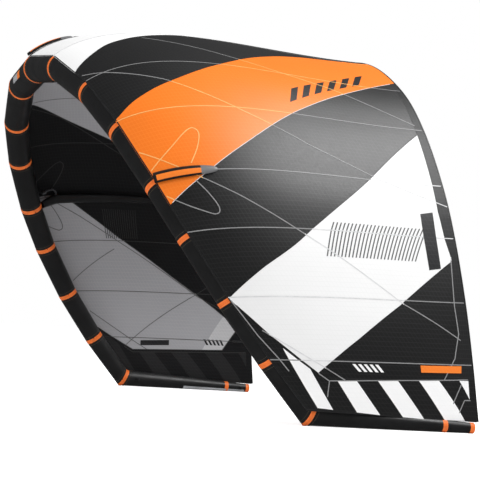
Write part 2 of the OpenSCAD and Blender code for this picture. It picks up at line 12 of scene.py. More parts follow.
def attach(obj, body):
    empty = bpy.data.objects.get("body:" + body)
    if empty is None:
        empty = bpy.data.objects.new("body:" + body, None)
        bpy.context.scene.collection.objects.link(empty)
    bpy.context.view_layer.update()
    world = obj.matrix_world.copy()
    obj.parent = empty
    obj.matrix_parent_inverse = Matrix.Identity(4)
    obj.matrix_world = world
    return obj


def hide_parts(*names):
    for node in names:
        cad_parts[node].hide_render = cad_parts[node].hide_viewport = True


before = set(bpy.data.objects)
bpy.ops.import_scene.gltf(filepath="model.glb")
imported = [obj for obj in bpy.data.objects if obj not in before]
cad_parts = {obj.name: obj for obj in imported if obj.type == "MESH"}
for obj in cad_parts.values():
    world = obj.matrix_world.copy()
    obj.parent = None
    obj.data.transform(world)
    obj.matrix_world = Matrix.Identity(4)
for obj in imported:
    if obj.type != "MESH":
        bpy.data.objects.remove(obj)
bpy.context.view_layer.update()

# ---------- Driving dimensions, in metres and degrees, the same as the CAD model's ----------
HALF_SPAN, ARCH_HEIGHT, ARCH_POWER = 1.674, 1.743, 2.25
TRAILING_LIFT, TRAILING_INSET = 0.209, 0.026
JOINT_ANGLES = [0, 14.5, 30.5, 43, 55.5, 65, 75, 83.5, 90]
SWEEP, TRAILING_SWEEP, SWEEP_POWER = 1.070, 0.196, 2.34
CENTRE_CHORD = 1.773
TUBE_R_CENTRE, TUBE_R_CORNER, TUBE_R_END = 0.079, 0.0515, 0.026
TIP_TUBE, REAR_BAND_AT = 0.875, 0.815
BAND_W, BAND_T = 0.026, 0.0008
STRUT_R_FRONT, STRUT_R_TAIL, STRUT_R_NECK = 0.031, 0.015, 0.022
CANOPY_T, SKIN_GAP, BILLOW, HEM_W = 0.0012, 0.0022, 0.007, 0.008
# The camber at the centre and at the tips: angle where it leaves the tube, reach of its handles, exit angle
CANOPY_FROM, CAMBER_FRONT, CAMBER_REAR, CAMBER_EXIT = 126, 0.26, 0.40, 5.5
TIP_FROM, TIP_FRONT, TIP_REAR, TIP_EXIT = 95, 0.3, 0.2, 1.7
JOINTS = len(JOINT_ANGLES) - 1
STRUT_JOINT = 4
SIDES = {"right": 1, "left": -1}

# ---------- Camera: a long lens half a metre up, off the right wing ----------
CAMERA_AT = (9.735, -3.053, 0.502)
CAMERA_AZIMUTH, CAMERA_ELEVATION, CAMERA_ROLL = 71.03, -2.43, 3.76
CAMERA_LENS, CAMERA_SENSOR = 135, 36


def add_camera():
    azimuth, elevation, roll = np.radians([CAMERA_AZIMUTH, CAMERA_ELEVATION, CAMERA_ROLL])
    level = np.cos(elevation)
    back = Vector((np.sin(azimuth) * level, -np.cos(azimuth) * level, np.sin(elevation)))
    right = Vector((0, 0, 1)).cross(back).normalized()
    up = back.cross(right)
    turned = (right * np.cos(roll) + up * np.sin(roll), up * np.cos(roll) - right * np.sin(roll), back)
    data = bpy.data.cameras.new("camera")
    data.lens, data.sensor_width, data.clip_end = CAMERA_LENS, CAMERA_SENSOR, 100
    camera = bpy.data.objects.new("camera", data)
    bpy.context.scene.collection.objects.link(camera)
    camera.matrix_world = Matrix.Translation(CAMERA_AT) @ Matrix(turned).transposed().to_4x4()
    bpy.context.scene.camera = camera


add_camera()


# ---------- Vectors and centre lines ----------
def unit(v):
    v = np.asarray(v, float)
    return v / np.linalg.norm(v, axis=-1, keepdims=True)


def mix(a, b, s):
    return a + (b - a) * s


def rounded(a, b, c, d, t):
    """Point between b and c on a smooth curve through four points."""
    return 0.5 * (2 * b + (c - a) * t + (2 * a - 5 * b + 4 * c - d) * t ** 2
                  + (3 * b - a - 3 * c + d) * t ** 3)


def arch(angle, half_width, height):
    a = np.radians(angle)
    power = 2 / ARCH_POWER
    return np.array([half_width * np.sin(a) ** power, height * max(np.cos(a), 0) ** power])


OUTLINE = np.array([arch(a, HALF_SPAN, ARCH_HEIGHT) for a in JOINT_ANGLES])
RUN = np.concatenate([[0], np.cumsum(np.linalg.norm(np.diff(OUTLINE, axis=0), axis=1))])
SWEPT = (RUN / RUN[-1]) ** SWEEP_POWER
DEPTH = CENTRE_CHORD + TRAILING_SWEEP + TUBE_R_CENTRE + BAND_T + HEM_W
FRONT_Y = -DEPTH / 2 + TUBE_R_CENTRE + BAND_T
BASE_Z = TUBE_R_CORNER + BAND_T
REAR_OUTLINE = [arch(a, HALF_SPAN - TRAILING_INSET, ARCH_HEIGHT + TRAILING_LIFT) for a in JOINT_ANGLES]
LEADING = np.array([[x, FRONT_Y + SWEEP * s, BASE_Z + z] for (x, z), s in zip(OUTLINE, SWEPT)])
TRAILING = np.array([[x, FRONT_Y + CENTRE_CHORD + TRAILING_SWEEP * s, BASE_Z + z]
                     for (x, z), s in zip(REAR_OUTLINE, SWEPT)])
TIP_END = LEADING[-1] + [0.006, TIP_TUBE, TUBE_R_END - TUBE_R_CORNER]


def arch_normal(angle):
    p, q = (arch(a, HALF_SPAN, ARCH_HEIGHT) for a in (max(angle - 0.5, 0), min(angle + 0.5, 90)))
    return unit([p[1] - q[1], 0, q[0] - p[0]])


NORMALS = np.array([arch_normal(a) for a in JOINT_ANGLES])
TUBE_DIRS = np.array([unit(b - a) for a, b in zip(LEADING, [*LEADING[1:], TIP_END])])
CUT_DIRS = np.array([[1, 0, 0]] + [unit(a + b) for a, b in zip(TUBE_DIRS, TUBE_DIRS[1:])] + [TUBE_DIRS[-1]])


def at(rows, i):
    """A row of a list at a joint number that may lie between two joints."""
    return np.stack([np.interp(i, range(JOINTS + 1), rows[:JOINTS + 1, c]) for c in range(3)], -1)


TRAILING_LINE = np.vstack([TRAILING[1] * [-1, 1, 1], TRAILING, 2 * TRAILING[-1] - TRAILING[-2]])


def trailing_at(i):
    """Trailing edge at a joint number, as a smooth curve through its points."""
    i = np.asarray(i, float)
    k = np.clip(np.floor(i).astype(int), 0, JOINTS - 1)
    return rounded(*(TRAILING_LINE[k + n] for n in range(4)), (i - k)[..., None])


def tube_r(i):
    return mix(TUBE_R_CENTRE, TUBE_R_CORNER, i / JOINTS)


# ---------- Canopy surface: signed joint number i from the centre, chord share s ----------
def section(i):
    """Leading edge point, chord length, and the chord, outward and spanwise directions."""
    front = at(LEADING, i)
    chord = trailing_at(i) - front
    c = unit(chord)
    n = at(NORMALS, i)
    n = unit(n - c * np.sum(n * c, -1, keepdims=True))
    return front, np.linalg.norm(chord, axis=-1), c, n, np.cross(n, c)


def camber_ends(i):
    """The four control points of the camber's curve, in the section plane."""
    _, length, c, _, _ = section(i)
    w = (i / JOINTS) ** 3
    a = np.radians(mix(CANOPY_FROM, TIP_FROM, w))
    r = tube_r(i) + BAND_T + SKIN_GAP + CANOPY_T / 2
    wide = 1 / np.linalg.norm(np.cross(c, unit(at(CUT_DIRS, i))), axis=-1)
    out = np.radians(mix(CAMBER_EXIT, TIP_EXIT, w))
    start = np.stack([r * wide * np.cos(a), r * np.sin(a)], -1)
    end = np.stack([length, w * (TUBE_R_END + BAND_T + SKIN_GAP)], -1)
    front_reach = (mix(CAMBER_FRONT, TIP_FRONT, w) * length)[..., None]
    rear_reach = (mix(CAMBER_REAR, TIP_REAR, w) * length)[..., None]
    lead = unit(np.stack([wide * np.sin(a), -np.cos(a)], -1)) * front_reach
    tail = np.stack([np.cos(out), -np.sin(out)], -1) * rear_reach
    return start, start + lead, end - tail, end


def bezier(p, s):
    s = np.asarray(s)[..., None]
    return p[0] * (1 - s) ** 3 + p[1] * 3 * (1 - s) ** 2 * s + p[2] * 3 * (1 - s) * s * s + p[3] * s ** 3


def bezier_slope(p, s):
    return unit(bezier(p, np.minimum(s + 0.01, 1)) - bezier(p, np.maximum(s - 0.01, 0)))


def camber(i, s, off=0.0):
    """Point in the section plane, moved off along the camber's own normal."""
    p = camber_ends(i)
    d = bezier_slope(p, s)
    return bezier(p, s) + np.asarray(off)[..., None] * np.stack([-d[..., 1], d[..., 0]], -1)


def across(i):
    """Distance along the arch from the centre, with its sign."""
    return np.sign(i) * np.interp(np.abs(i), range(JOINTS + 1), RUN)


PUCKER_RUN, PUCKER_DEPTH, PUCKER_FADE = 0.085, 0.0011, 0.10


def pucker(i, s):
    """Small ripples where the taut cloth leaves the leading edge and meets the hem."""
    wave = np.sin(2 * np.pi * across(i) / PUCKER_RUN) * (0.6 + 0.4 * np.sin(11 * across(i) + 1.3))
    near_tube = np.exp(-s / PUCKER_FADE) * np.minimum(s / 0.02, 1)
    near_hem = 0.25 * np.exp((s - 1) / 0.05)
    return PUCKER_DEPTH * wave * (near_tube + near_hem)


def skin(i, s, off=0.0):
    """Point on the canopy's middle surface, moved off outwards; the cloth billows between the joints."""
    i, s = np.broadcast_arrays(np.asarray(i, float), np.asarray(s, float))
    k = np.abs(i)
    puff = BILLOW * np.sin(np.pi * (k - np.floor(k))) * np.sin(np.pi * s) * (1 - (k / JOINTS) ** 3)
    p = camber(k, s, puff + off + pucker(i, s))
    front, _, c, n, _ = section(k)
    point = front + c * p[..., :1] + n * p[..., 1:2]
    point[..., 0] *= np.where(i < 0, -1, 1)
    return point


def skin_normal(i, s):
    """Outward direction square to the canopy."""
    step = 0.004
    spanwise = skin(np.clip(i + step, -JOINTS, JOINTS), s) - skin(np.clip(i - step, -JOINTS, JOINTS), s)
    chordwise = skin(i, np.minimum(s + step, 1)) - skin(i, np.maximum(s - step, 0))
    return unit(np.cross(spanwise, chordwise))


def canopy_tip(s):
    """Last joint number that the canopy reaches."""
    return JOINTS - mix(0.1, 0.02, s)


def flow(*points):
    """Smooth curve through (s, value) points, as a function of s."""
    x, y = np.array(points, float).T
    m = np.gradient(y, x)

    def value(s):
        s = np.clip(s, x[0], x[-1])
        k = np.clip(np.searchsorted(x, s, side="right") - 1, 0, len(x) - 2)
        h = x[k + 1] - x[k]
        t = (s - x[k]) / h
        return ((2 * t ** 3 - 3 * t ** 2 + 1) * y[k] + (t ** 3 - 2 * t ** 2 + t) * h * m[k]
                + (3 * t ** 2 - 2 * t ** 3) * y[k + 1] + (t ** 3 - t ** 2) * h * m[k + 1])
    return value


def bent(*points):
    """Straight runs through (s, value) points, as a function of s."""
    x, y = np.array(points, float).T
    return lambda s: np.interp(s, x, y)


# ---------- Colour panels: where one cloth ends and the next begins, as joint number over share ----------
RIGHT_CROWN = flow((0, 1.68), (0.05, 1.57), (0.11, 1.46), (0.17, 1.34), (0.24, 1.25), (0.4, 1.07), (1, 0.7))
ORANGE_TOP = flow((0, 2.97), (0.08, 2.79), (0.18, 2.61), (0.31, 2.38), (0.47, 1.99), (0.62, 1.58),
                  (0.78, 1.2), (1, 0.9))
ORANGE_FOOT = flow((0, 4.5), (0.09, 4.3), (0.245, 3.94), (0.43, 3.49), (0.63, 2.9), (0.81, 2.32),
                   (0.91, 2.0), (1, 1.75))
WHITE_TOP = flow((0, 6.02), (0.2, 5.62), (0.41, 5.18), (0.64, 4.45), (0.85, 3.61), (1, 3))
WHITE_FOOT = bent((0, 6.0), (0.08, 6.6), (0.2, 7.22), (0.47, 6.63), (0.7, 6.09), (1, 5.3))
LEFT_CROWN = flow((0, -1.74), (0.135, -2.05), (0.29, -2.53), (0.47, -2.97), (0.7, -3.57), (1, -4.3))
LEFT_WHITE_TOP = bent((0, -3.95), (0.18, -3.96), (0.25, -4.1), (0.43, -4.94), (0.61, -5.64), (0.85, -6.49),
                      (0.9, -6.78), (1, -6.78))
LEFT_WHITE_FOOT = bent((0, -6.55), (0.11, -6.82), (0.24, -7.29), (0.79, -7.22), (0.9, -6.78), (1, -6.78))
# Shares at which the straight-run edges turn
CORNERS = [0.08, 0.11, 0.18, 0.2, 0.24, 0.25, 0.43, 0.47, 0.61, 0.7, 0.79, 0.85, 0.9]

# name: (colour, edge at the lower joint number, edge at the higher one, canopy nodes it stands for)
PANELS = {
    "cloth_center": ("white", LEFT_CROWN, RIGHT_CROWN, ["canopy_left_1", "canopy_right_1"]),
    "cloth_right_shoulder": ("black", RIGHT_CROWN, ORANGE_TOP, ["canopy_right_2"]),
    "cloth_right_orange": ("orange", ORANGE_TOP, ORANGE_FOOT, ["canopy_right_3", "canopy_right_4"]),
    "cloth_right_middle": ("black", ORANGE_FOOT, WHITE_TOP, ["canopy_right_5"]),
    "cloth_right_white": ("white", WHITE_TOP, WHITE_FOOT, ["canopy_right_6", "canopy_right_7"]),
    "cloth_right_tip": ("black", WHITE_FOOT, canopy_tip, ["canopy_right_8"]),
    "cloth_left_shoulder": ("black", LEFT_WHITE_TOP, LEFT_CROWN,
                            ["canopy_left_2", "canopy_left_3", "canopy_left_4"]),
    "cloth_left_white": ("white", LEFT_WHITE_FOOT, LEFT_WHITE_TOP,
                         ["canopy_left_5", "canopy_left_6", "canopy_left_7"]),
    "cloth_left_tip": ("black", lambda s: -canopy_tip(s), LEFT_WHITE_FOOT, ["canopy_left_8"]),
}


def cloth_at(i, s):
    """Colour of the panel at a place."""
    for colour, low, high, _ in PANELS.values():
        if low(s) <= i <= high(s):
            return colour
    return "black"


# ---------- Meshes ----------
SHARP_ANGLE = np.radians(40)


def make_object(name, vertices, faces, looks, marks, lay):
    """Piece whose marks pick a look for each face, and whose lay is each point's place on the flat cloth."""
    mesh = bpy.data.meshes.new(name)
    mesh.from_pydata([tuple(map(float, v)) for v in vertices], [], faces)
    for look in looks:
        mesh.materials.append(LOOKS[look])
    mesh.polygons.foreach_set("material_index", np.array(marks, np.int32))
    mesh.polygons.foreach_set("use_smooth", np.full(len(mesh.polygons), True))
    layer = mesh.attributes.new("lay", "FLOAT_VECTOR", "POINT")
    layer.data.foreach_set("vector", np.asarray(lay, np.float32).ravel())
    mesh.validate()
    mesh.set_sharp_from_angle(angle=SHARP_ANGLE)
    obj = bpy.data.objects.new(name, mesh)
    bpy.context.scene.collection.objects.link(obj)
    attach(obj, "root")
    return obj


class Parts:
    """Vertices, faces and materials of one piece, gathered from several bodies."""

    def __init__(self):
        self.vertices, self.faces, self.marks, self.lay = [], [], [], []

    def add(self, vertices, faces, mark=0, lay=None):
        start = len(self.vertices)
        self.vertices.extend(vertices)
        self.faces.extend([tuple(start + k for k in f) for f in faces])
        self.marks.extend([mark] * len(faces) if np.isscalar(mark) else mark)
        self.lay.extend(np.zeros((len(vertices), 3)) if lay is None else lay)

    def build(self, name, *looks):
        return make_object(name, self.vertices, self.faces, looks, self.marks, self.lay)


def grid_faces(rows, cols, start=0, flip=False):
    """Quads between rows of points that each close on themselves."""
    faces = []
    for j in range(rows - 1):
        for k in range(cols):
            a, b = start + j * cols + k, start + j * cols + (k + 1) % cols
            quad = (a, b, b + cols, a + cols)
            faces.append(quad[::-1] if flip else quad)
    return faces


def closed_tube(rings):
    """Vertices and faces of rings joined in order, with the ends filled."""
    rows, cols = len(rings), len(rings[0])
    vertices = [p for r in rings for p in r]
    faces = grid_faces(rows, cols)
    faces.append(tuple(range(cols - 1, -1, -1)))
    faces.append(tuple((rows - 1) * cols + k for k in range(cols)))
    return vertices, faces


def shell(outer, inner):
    """Vertices and faces of a pipe wall between two sets of rings."""
    rows, cols = len(outer), len(outer[0])
    n = rows * cols
    vertices = [p for r in outer for p in r] + [p for r in inner for p in r]
    faces = grid_faces(rows, cols) + grid_faces(rows, cols, n, True)
    last = (rows - 1) * cols
    for k in range(cols):
        m = (k + 1) % cols
        faces.append((m, k, n + k, n + m))
        faces.append((last + k, last + m, n + last + m, n + last + k))
    return vertices, faces


def mirrored(vertices, faces, side):
    """The same body on the other side of the kite."""
    if side > 0:
        return vertices, faces
    return [np.array(v) * [-1, 1, 1] for v in vertices], [f[::-1] for f in faces]


def even_lay(rows, cols, along, around):
    """Places on the flat cloth for points in even rows and columns."""
    return [(along * j, around * k, 0) for j in range(rows) for k in range(cols)]


def settle(obj, slot, *nodes):
    """Turn a piece's faces outwards and hide the CAD nodes that it stands for; the slot is not used."""
    bm = bmesh.new()
    bm.from_mesh(obj.data)
    bmesh.ops.recalc_face_normals(bm, faces=bm.faces)
    bm.to_mesh(obj.data)
    bm.free()
    obj.data.set_sharp_from_angle(angle=SHARP_ANGLE)
    if nodes:
        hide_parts(*nodes)


# ---------- Materials ----------
CANOPY_RIPSTOP, CANOPY_WEAVE, TUBE_WEAVE, TAPE_RIB, STITCH_PITCH = 0.021, 0.0016, 0.003, 0.0022, 0.006


class Look:
    """A material's nodes, wired in plain steps."""

    def __init__(self, name, roughness, specular):
        self.material = bpy.data.materials.new(name)
        self.material.use_nodes = True
        self.tree = self.material.node_tree
        self.shader = self.tree.nodes["Principled BSDF"]
        self.shader.inputs["Roughness"].default_value = roughness
        self.shader.inputs["Specular IOR Level"].default_value = specular

    def put(self, target, value):
        if isinstance(value, bpy.types.NodeSocket):
            self.tree.links.new(value, target)
        else:
            target.default_value = value

    def maths(self, operation, a, b=0.0, clamp=False):
        node = self.tree.nodes.new("ShaderNodeMath")
        node.operation, node.use_clamp = operation, clamp
        self.put(node.inputs[0], a)
        self.put(node.inputs[1], b)
        return node.outputs[0]

    def lay(self):
        """Place on the flat cloth in metres: along, across."""
        node = self.tree.nodes.new("ShaderNodeAttribute")
        node.attribute_name = "lay"
        parts = self.tree.nodes.new("ShaderNodeSeparateXYZ")
        self.put(parts.inputs[0], node.outputs["Vector"])
        return parts.outputs[0], parts.outputs[1]

    def place(self):
        return self.tree.nodes.new("ShaderNodeTexCoord").outputs["Object"]

    def noise(self, scale, detail=2.0, vector=None):
        node = self.tree.nodes.new("ShaderNodeTexNoise")
        node.inputs["Scale"].default_value = scale
        node.inputs["Detail"].default_value = detail
        self.put(node.inputs["Vector"], vector or self.place())
        return node.outputs[0]

    def spread(self, value, low, high, source=(0.0, 1.0)):
        """Value moved from its own range to another."""
        node = self.tree.nodes.new("ShaderNodeMapRange")
        self.put(node.inputs["Value"], value)
        for label, number in zip(("From Min", "From Max", "To Min", "To Max"), (*source, low, high)):
            self.put(node.inputs[label], number)
        return node.outputs[0]

    def lines(self, coordinate, pitch, share):
        """One on thin lines across a coordinate, zero between them."""
        turn = self.maths("MULTIPLY", coordinate, 2 * np.pi / pitch)
        wave = self.maths("COSINE", turn)
        return self.spread(wave, 0.0, 1.0, (np.cos(np.pi * share), np.cos(np.pi * share * 0.4)))

    def blend(self, factor, a, b):
        node = self.tree.nodes.new("ShaderNodeMix")
        node.data_type = "RGBA"
        self.put(node.inputs["Factor"], factor)
        for label, colour in (("A", a), ("B", b)):
            socket = [x for x in node.inputs if x.name == label and x.type == "RGBA"][0]
            self.put(socket, colour if isinstance(colour, bpy.types.NodeSocket) else (*colour, 1))
        return [x for x in node.outputs if x.type == "RGBA"][0]

    def bump(self, height, depth, strength):
        node = self.tree.nodes.new("ShaderNodeBump")
        node.inputs["Strength"].default_value = strength
        node.inputs["Distance"].default_value = depth
        self.put(node.inputs["Height"], height)
        self.put(self.shader.inputs["Normal"], node.outputs[0])

    def colour(self, value):
        self.put(self.shader.inputs["Base Color"], value)

    def roughness(self, value, middle, below, above):
        """Roughness that follows a noise, from below to above its middle."""
        rough = self.spread(value, middle - below, middle + above, (0.3, 0.7))
        self.put(self.shader.inputs["Roughness"], rough)

    def mottled(self, value, colour, dark, light, source=(0.35, 0.7)):
        """Colour that follows a noise from a darker to a lighter share of itself."""
        return self.blend(self.spread(value, 0, 1, source), scaled(colour, dark), scaled(colour, light))


def scaled(colour, share):
    return tuple(min(c * share, 1) for c in colour)


def ripstop(name, colour, roughness, specular, thread=1.2, grain=0.12):
    """Coated ripstop cloth: a square grid of thicker threads, fine weave and slow changes of tone."""
    look = Look(name, roughness, specular)
    u, v = look.lay()
    grid = look.maths("MAXIMUM", look.lines(u, CANOPY_RIPSTOP, 0.17), look.lines(v, CANOPY_RIPSTOP, 0.17))
    weave = look.maths("MULTIPLY", look.lines(u, CANOPY_WEAVE, 0.5), look.lines(v, CANOPY_WEAVE, 0.5))
    cloud = look.noise(2.2, 4)
    mottle = look.noise(160, 3)
    tone = look.mottled(cloud, colour, 1 - grain, 1 + grain, (0.3, 0.7))
    tone = look.blend(look.maths("MULTIPLY", mottle, 0.25), tone, scaled(colour, 1 - 2 * grain))
    look.colour(look.blend(look.maths("MULTIPLY", grid, 0.5), tone, scaled(colour, thread)))
    matt = look.spread(mottle, roughness - 0.06, roughness + 0.06, (0.3, 0.7))
    look.put(look.shader.inputs["Roughness"], look.maths("ADD", matt, look.maths("MULTIPLY", grid, 0.04)))
    shine = look.spread(grid, specular * 0.93, specular * 1.22)
    look.put(look.shader.inputs["Specular IOR Level"], shine)
    height = look.maths("ADD", grid, look.maths("MULTIPLY", weave, 0.35))
    look.bump(look.maths("ADD", height, look.maths("MULTIPLY", cloud, 1.5)), 0.00025, 0.35)
    return look.material


def dacron(name, colour, roughness, specular):
    """Heavy woven tube cloth: a tight square weave with soft scuffs."""
    look = Look(name, roughness, specular)
    u, v = look.lay()
    weave = look.maths("MULTIPLY", look.lines(u, TUBE_WEAVE, 0.6), look.lines(v, TUBE_WEAVE, 0.6))
    scuff = look.noise(9, 6)
    fine = look.noise(240, 2)
    tone = look.mottled(scuff, colour, 0.82, 1.2)
    look.colour(look.blend(look.maths("MULTIPLY", weave, 0.3), tone, scaled(colour, 1.35)))
    look.roughness(scuff, roughness, 0.08, 0.08)
    look.bump(look.maths("ADD", weave, look.maths("MULTIPLY", fine, 0.6)), 0.0003, 0.3)
    return look.material


def stitched(name, colour, thread, roughness=0.5, width=0.026):
    """Woven tape with a dashed row of stitches near each edge."""
    look = Look(name, roughness, 0.4)
    u, v = look.lay()
    rib = look.lines(u, TAPE_RIB, 0.5)
    from_row = look.maths("ABSOLUTE", look.maths("SUBTRACT", look.maths("ABSOLUTE", v), width * 0.36))
    row = look.spread(from_row, 1.0, 0.0, (0.0004, 0.0009))
    turn = look.maths("MULTIPLY", u, 2 * np.pi / STITCH_PITCH)
    dash = look.spread(look.maths("COSINE", turn), 0.0, 1.0, (-0.3, 0.1))
    seam = look.maths("MULTIPLY", row, dash, True)
    wear = look.noise(30, 4)
    tone = look.mottled(wear, colour, 0.88, 1.1)
    tone = look.blend(look.maths("MULTIPLY", rib, 0.18), tone, scaled(colour, 0.8))
    look.colour(look.blend(seam, tone, thread))
    look.roughness(wear, roughness, 0.06, 0.1)
    look.bump(look.maths("ADD", look.maths("MULTIPLY", rib, 0.5), seam), 0.0003, 0.4)
    return look.material


def moulded(name, colour, roughness, grain=420):
    """Moulded plastic or rubber: a fine grain and faint flow marks."""
    look = Look(name, roughness, 0.5)
    flow_marks = look.noise(24, 5)
    fine = look.noise(grain, 3)
    tone = look.mottled(flow_marks, colour, 0.94, 1.06, (0.3, 0.7))
    look.colour(look.blend(look.maths("MULTIPLY", fine, 0.2), tone, scaled(colour, 0.8)))
    look.roughness(fine, roughness, 0.08, 0.1)
    look.bump(fine, 0.0002, 0.3)
    return look.material


WHITE = (0.88, 0.88, 0.88)
# Painted shade: this grey is the white cloth's inner face, the look of white cloth out of the light.
WHITE_SHADED_INSIDE = (0.33, 0.33, 0.345)
BLACK = (0.010, 0.010, 0.0105)
ORANGE = (0.95, 0.20, 0.008)
LOOKS = {
    "white_outer": ripstop("canopy_white_outer", WHITE, 0.5, 0.35, 0.93, 0.02),
    # Painted shade: the white cloth's inner face is drawn grey.
    "white_inner": ripstop("canopy_white_inner_painted_shade", WHITE_SHADED_INSIDE, 0.55, 0.3, 1.15, 0.05),
    "black_outer": ripstop("canopy_black_outer", BLACK, 0.46, 0.65, 2.0),
    # Painted shade: the black cloth's inner face is drawn a little darker than its outer face.
    "black_inner": ripstop("canopy_black_inner_painted_shade", (0.008, 0.008, 0.009), 0.55, 0.25, 1.5),
    "orange_outer": ripstop("canopy_orange_outer", ORANGE, 0.42, 0.5, 1.2, 0.05),
    # Painted shade: the orange cloth's inner face is drawn a darker orange than its outer face.
    "orange_inner": ripstop("canopy_orange_inner_painted_shade", (0.55, 0.10, 0.01), 0.55, 0.3, 1.1, 0.05),
    "tube": dacron("tube_black", (0.011, 0.011, 0.0115), 0.42, 0.5),
    "tube_inside": dacron("tube_inside", (0.03, 0.03, 0.031), 0.7, 0.2),
    "band": stitched("band_orange", (0.90, 0.17, 0.02), (0.95, 0.35, 0.08)),
    "thread_tan": stitched("thread_tan", (0.12, 0.10, 0.07), (0.2, 0.16, 0.1), 0.6, 0.002),
    "seam_on_white": stitched("seam_on_white", (0.76, 0.76, 0.77), (0.62, 0.62, 0.63), 0.5, 0.005),
    "seam_on_black": stitched("seam_on_black", (0.24, 0.24, 0.245), (0.4, 0.4, 0.4), 0.42, 0.005),
    "seam_on_orange": stitched("seam_on_orange", (1.0, 0.47, 0.13), (1.0, 0.6, 0.25), 0.42, 0.005),
    # Painted shade: seams on the white cloth's inner face are drawn dark grey, far darker than the same seams
    # outside.
    "seam_in_white_painted_shade": stitched("seam_in_white_painted_shade", (0.10, 0.10, 0.10), (0.2, 0.2, 0.2), 0.55, 0.005),
    "seam_in_black": stitched("seam_in_black", (0.022, 0.022, 0.022), (0.05, 0.05, 0.05), 0.55, 0.005),
    "piping": stitched("piping_black", (0.014, 0.014, 0.015), (0.06, 0.06, 0.06), 0.5, 0.008),
    "print_white": ripstop("print_white", (0.96, 0.96, 0.96), 0.45, 0.4, 0.95, 0.02),
    "print_faint": ripstop("print_faint", (0.017, 0.017, 0.018), 0.55, 0.3, 1.2),
    "print_dark": ripstop("print_dark", (0.014, 0.014, 0.016), 0.45, 0.5, 1.6),
    "print_grey": ripstop("print_grey", (0.10, 0.10, 0.105), 0.5, 0.4, 1.2),
    "nose_grey": dacron("nose_grey", (0.15, 0.15, 0.155), 0.4, 0.6),
    "edge_cloth": ripstop("edge_cloth", (0.016, 0.016, 0.0165), 0.5, 0.45, 1.4),
    "edge_inside": ripstop("edge_inside", (0.46, 0.46, 0.47), 0.5, 0.4, 1.2),
    "print_orange": ripstop("print_orange", (0.95, 0.22, 0.015), 0.45, 0.5, 1.05, 0.03),
    "silver": dacron("tip_strip_silver", (0.42, 0.43, 0.45), 0.35, 0.6),
    "webbing": stitched("webbing_black", (0.018, 0.018, 0.019), (0.10, 0.10, 0.10), 0.6, 0.012),
    "rubber": moulded("valve_rubber", (0.10, 0.10, 0.105), 0.55),
    "rubber_cap": moulded("valve_cap_rubber", (0.16, 0.16, 0.165), 0.5),
    "clamp": moulded("clamp_plastic", (0.02, 0.02, 0.021), 0.35),
    "lever": moulded("lever_plastic", (0.07, 0.07, 0.073), 0.35),
    "hose": moulded("hose_smoked", (0.045, 0.046, 0.05), 0.3, 90),
    "film": moulded("bladder_film", (0.60, 0.63, 0.64), 0.3, 60),
    "rod": moulded("batten_rod", (0.05, 0.05, 0.052), 0.3),
    "cap_orange": stitched("tip_cap_orange", (0.90, 0.17, 0.02), (0.95, 0.4, 0.1), 0.5, 0.024),
}


# ---------- Canopy panels ----------
COLUMNS_PER_JOINT, CANOPY_ROWS = ((18, 72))


def clip(polygon, inside):
    """The part of a polygon where inside is not negative."""
    kept = []
    for p, q in zip(polygon, polygon[1:] + polygon[:1]):
        a, b = inside(p), inside(q)
        if a >= 0:
            kept.append(p)
        if a * b < 0:
            kept.append(p + (q - p) * a / (a - b))
    return kept


def row_edges(rows, corners):
    shares = np.concatenate([np.linspace(0, 1, rows + 1), corners])
    return np.unique(np.round(shares, 4))


class Cells:
    """Polygons on the canopy's surface, with their corners shared."""

    def __init__(self):
        self.points, self.index, self.faces = [], {}, []

    def add(self, polygon):
        ring = []
        for p in polygon:
            key = (round(p[0] * 20000), round(p[1] * 20000))
            if key not in self.index:
                self.index[key] = len(self.points)
                self.points.append(p)
            if self.index[key] not in ring:
                ring.append(self.index[key])
        if len(ring) > 2:
            self.faces.append(ring)

    def slab(self, low, high):
        """Closed body between two offsets from the skin, with a mark 0 outside, 1 inside and 0 on the rim."""
        i, s = np.array(self.points).T
        n = len(i)
        vertices = np.concatenate([skin(i, s, high), skin(i, s, low)])
        lay = np.stack([across(i), s * section(np.abs(i))[1], 0 * s], -1)
        used = dict.fromkeys((a, b) for f in self.faces for a, b in zip(f, f[1:] + f[:1]))
        rim = [(b, a, n + a, n + b) for a, b in used if (b, a) not in used]
        inner = [tuple(n + k for k in f[::-1]) for f in self.faces]
        marks = [0] * len(self.faces) + [1] * len(inner) + [0] * len(rim)
        return vertices, [tuple(f) for f in self.faces] + inner + rim, marks, np.concatenate([lay, lay])

    def area(self):
        i, s = np.array(self.points).T
        spots = skin(i, s)
        total = 0.0
        for f in self.faces:
            total += sum(np.linalg.norm(np.cross(spots[b] - spots[f[0]], spots[c] - spots[f[0]])) / 2
                         for b, c in zip(f[1:], f[2:]))
        return total


def panel_cells(low, high):
    columns = np.linspace(-JOINTS, JOINTS, 2 * JOINTS * COLUMNS_PER_JOINT + 1)
    rows = row_edges(CANOPY_ROWS, CORNERS)
    cells = Cells()
    for s0, s1 in zip(rows, rows[1:]):
        low0, low1, high0, high1 = low(s0), low(s1), high(s0), high(s1)
        for i0, i1 in zip(columns, columns[1:]):
            if i1 <= min(low0, low1) or i0 >= max(high0, high1):
                continue
            cell = [np.array(p) for p in ((i0, s0), (i1, s0), (i1, s1), (i0, s1))]
            if i0 < max(low0, low1):
                cell = clip(cell, lambda p: p[0] - mix(low0, low1, (p[1] - s0) / (s1 - s0)))
            if i1 > min(high0, high1) and cell:
                cell = clip(cell, lambda p: mix(high0, high1, (p[1] - s0) / (s1 - s0)) - p[0])
            cells.add(cell)
    return cells


def build_canopy():
    for name, (colour, low, high, nodes) in PANELS.items():
        cells = panel_cells(low, high)
        vertices, faces, marks, lay = cells.slab(-CANOPY_T / 2, CANOPY_T / 2)
        panel = make_object(name, vertices, faces, [colour + "_outer", colour + "_inner"], marks, lay)
        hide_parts(*nodes)
        area = cells.area()


build_canopy()


